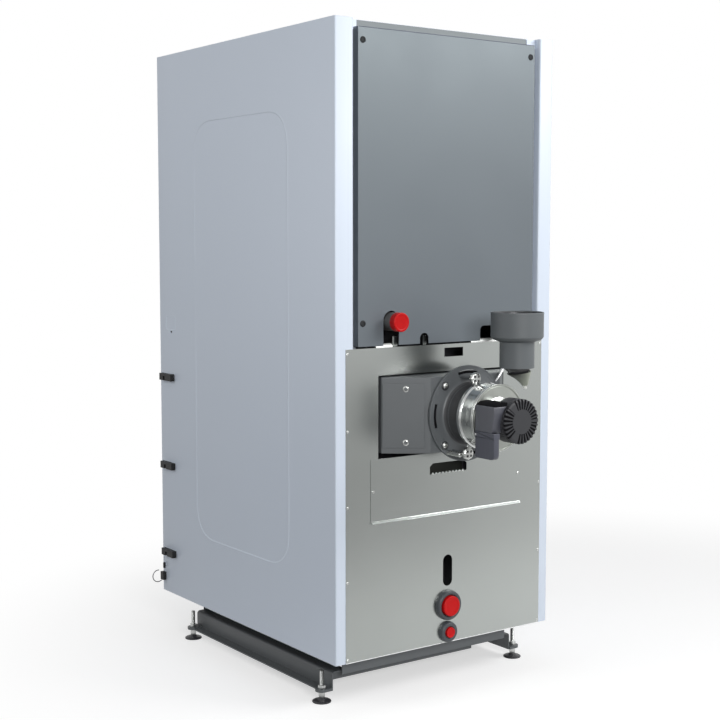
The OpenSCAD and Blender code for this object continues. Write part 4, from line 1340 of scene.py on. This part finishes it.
class BOILER_OT_stage(bpy.types.Operator):
    """Makes the floor, the lamps, the surroundings and the camera"""

    bl_idname = "boiler.stage"
    bl_label = "Stage"

    def execute(self, context):
        light = context.scene.boiler_light
        view = context.scene.view_settings
        view.view_transform = "Standard"
        side = 14.0
        mesh = bpy.data.meshes.new("floor")
        corners = [(-side, -side, 0), (side, -side, 0), (side, side, 0), (-side, side, 0)]
        mesh.from_pydata(corners, [], [(0, 1, 2, 3)])
        mesh.materials.append(floor_material())
        floor = bpy.data.objects.new("floor", mesh)
        context.scene.collection.objects.link(floor)
        studio_world(light.sky)
        area_lamp("key_lamp", (1.2, 3.3, 1.42), (0, 0.3, 0.8), 1.05, 0.6, light.key)
        area_lamp("high_lamp", (-1.85, 2.45, 2.45), (0, 0.3, 1.2), 1.8, 1.0, light.high)
        area_lamp("side_lamp", (3.2, -1.2, 1.8), (0.2, 0, 0.85), 2.4, 2.4, light.fill)
        data = bpy.data.cameras.new("camera")
        data.lens = 67.56
        data.sensor_width = 36.0
        camera = bpy.data.objects.new("camera", data)
        context.scene.collection.objects.link(camera)
        camera.location = (1.92685, 2.6626, 1.0384)
        azimuth, elevation = 144.509, 5.048
        camera.rotation_euler = (math.radians(90 - elevation), 0, math.radians(azimuth))
        context.scene.camera = camera
        return {"FINISHED"}


# ---------------------------------------------------------------- panel and registration

STEPS = (
    BOILER_OT_finishes, BOILER_OT_base, BOILER_OT_feet, BOILER_OT_casing, BOILER_OT_rear_panels,
    BOILER_OT_flue_box, BOILER_OT_fan, BOILER_OT_motor, BOILER_OT_adapter, BOILER_OT_pipes,
    BOILER_OT_side_fittings, BOILER_OT_stage,
)
GROUPS = (("boiler_sizes", BoilerSizes), ("boiler_colours", BoilerColours), ("boiler_light", BoilerLight))


class BOILER_PT_build(bpy.types.Panel):
    """Lists the sizes, the colours and the building steps"""

    bl_label = "Pellet boiler"
    bl_idname = "BOILER_PT_build"
    bl_space_type = "VIEW_3D"
    bl_region_type = "UI"
    bl_category = "Boiler"

    def draw(self, context):
        """Draws one box of settings for each group, then a button for each step."""
        for attribute, group in GROUPS:
            box = self.layout.box()
            for name in group.__annotations__:
                box.prop(getattr(context.scene, attribute), name)
        for step in STEPS:
            self.layout.operator(step.bl_idname)


def register():
    """Registers the groups of settings first, because the steps read them."""
    for attribute, group in GROUPS:
        bpy.utils.register_class(group)
        setattr(bpy.types.Scene, attribute, PointerProperty(type=group))
    for step in (*STEPS, BOILER_PT_build):
        bpy.utils.register_class(step)


def unregister():
    """Undoes what register() did, in the opposite order."""
    for step in (BOILER_PT_build, *reversed(STEPS)):
        bpy.utils.unregister_class(step)
    for attribute, group in reversed(GROUPS):
        delattr(bpy.types.Scene, attribute)
        bpy.utils.unregister_class(group)


def main():
    """Runs the steps in order."""
    register()
    for step in STEPS:
        group, name = step.bl_idname.split(".")
        getattr(getattr(bpy.ops, group), name)()


if __name__ == "__main__":
    main()
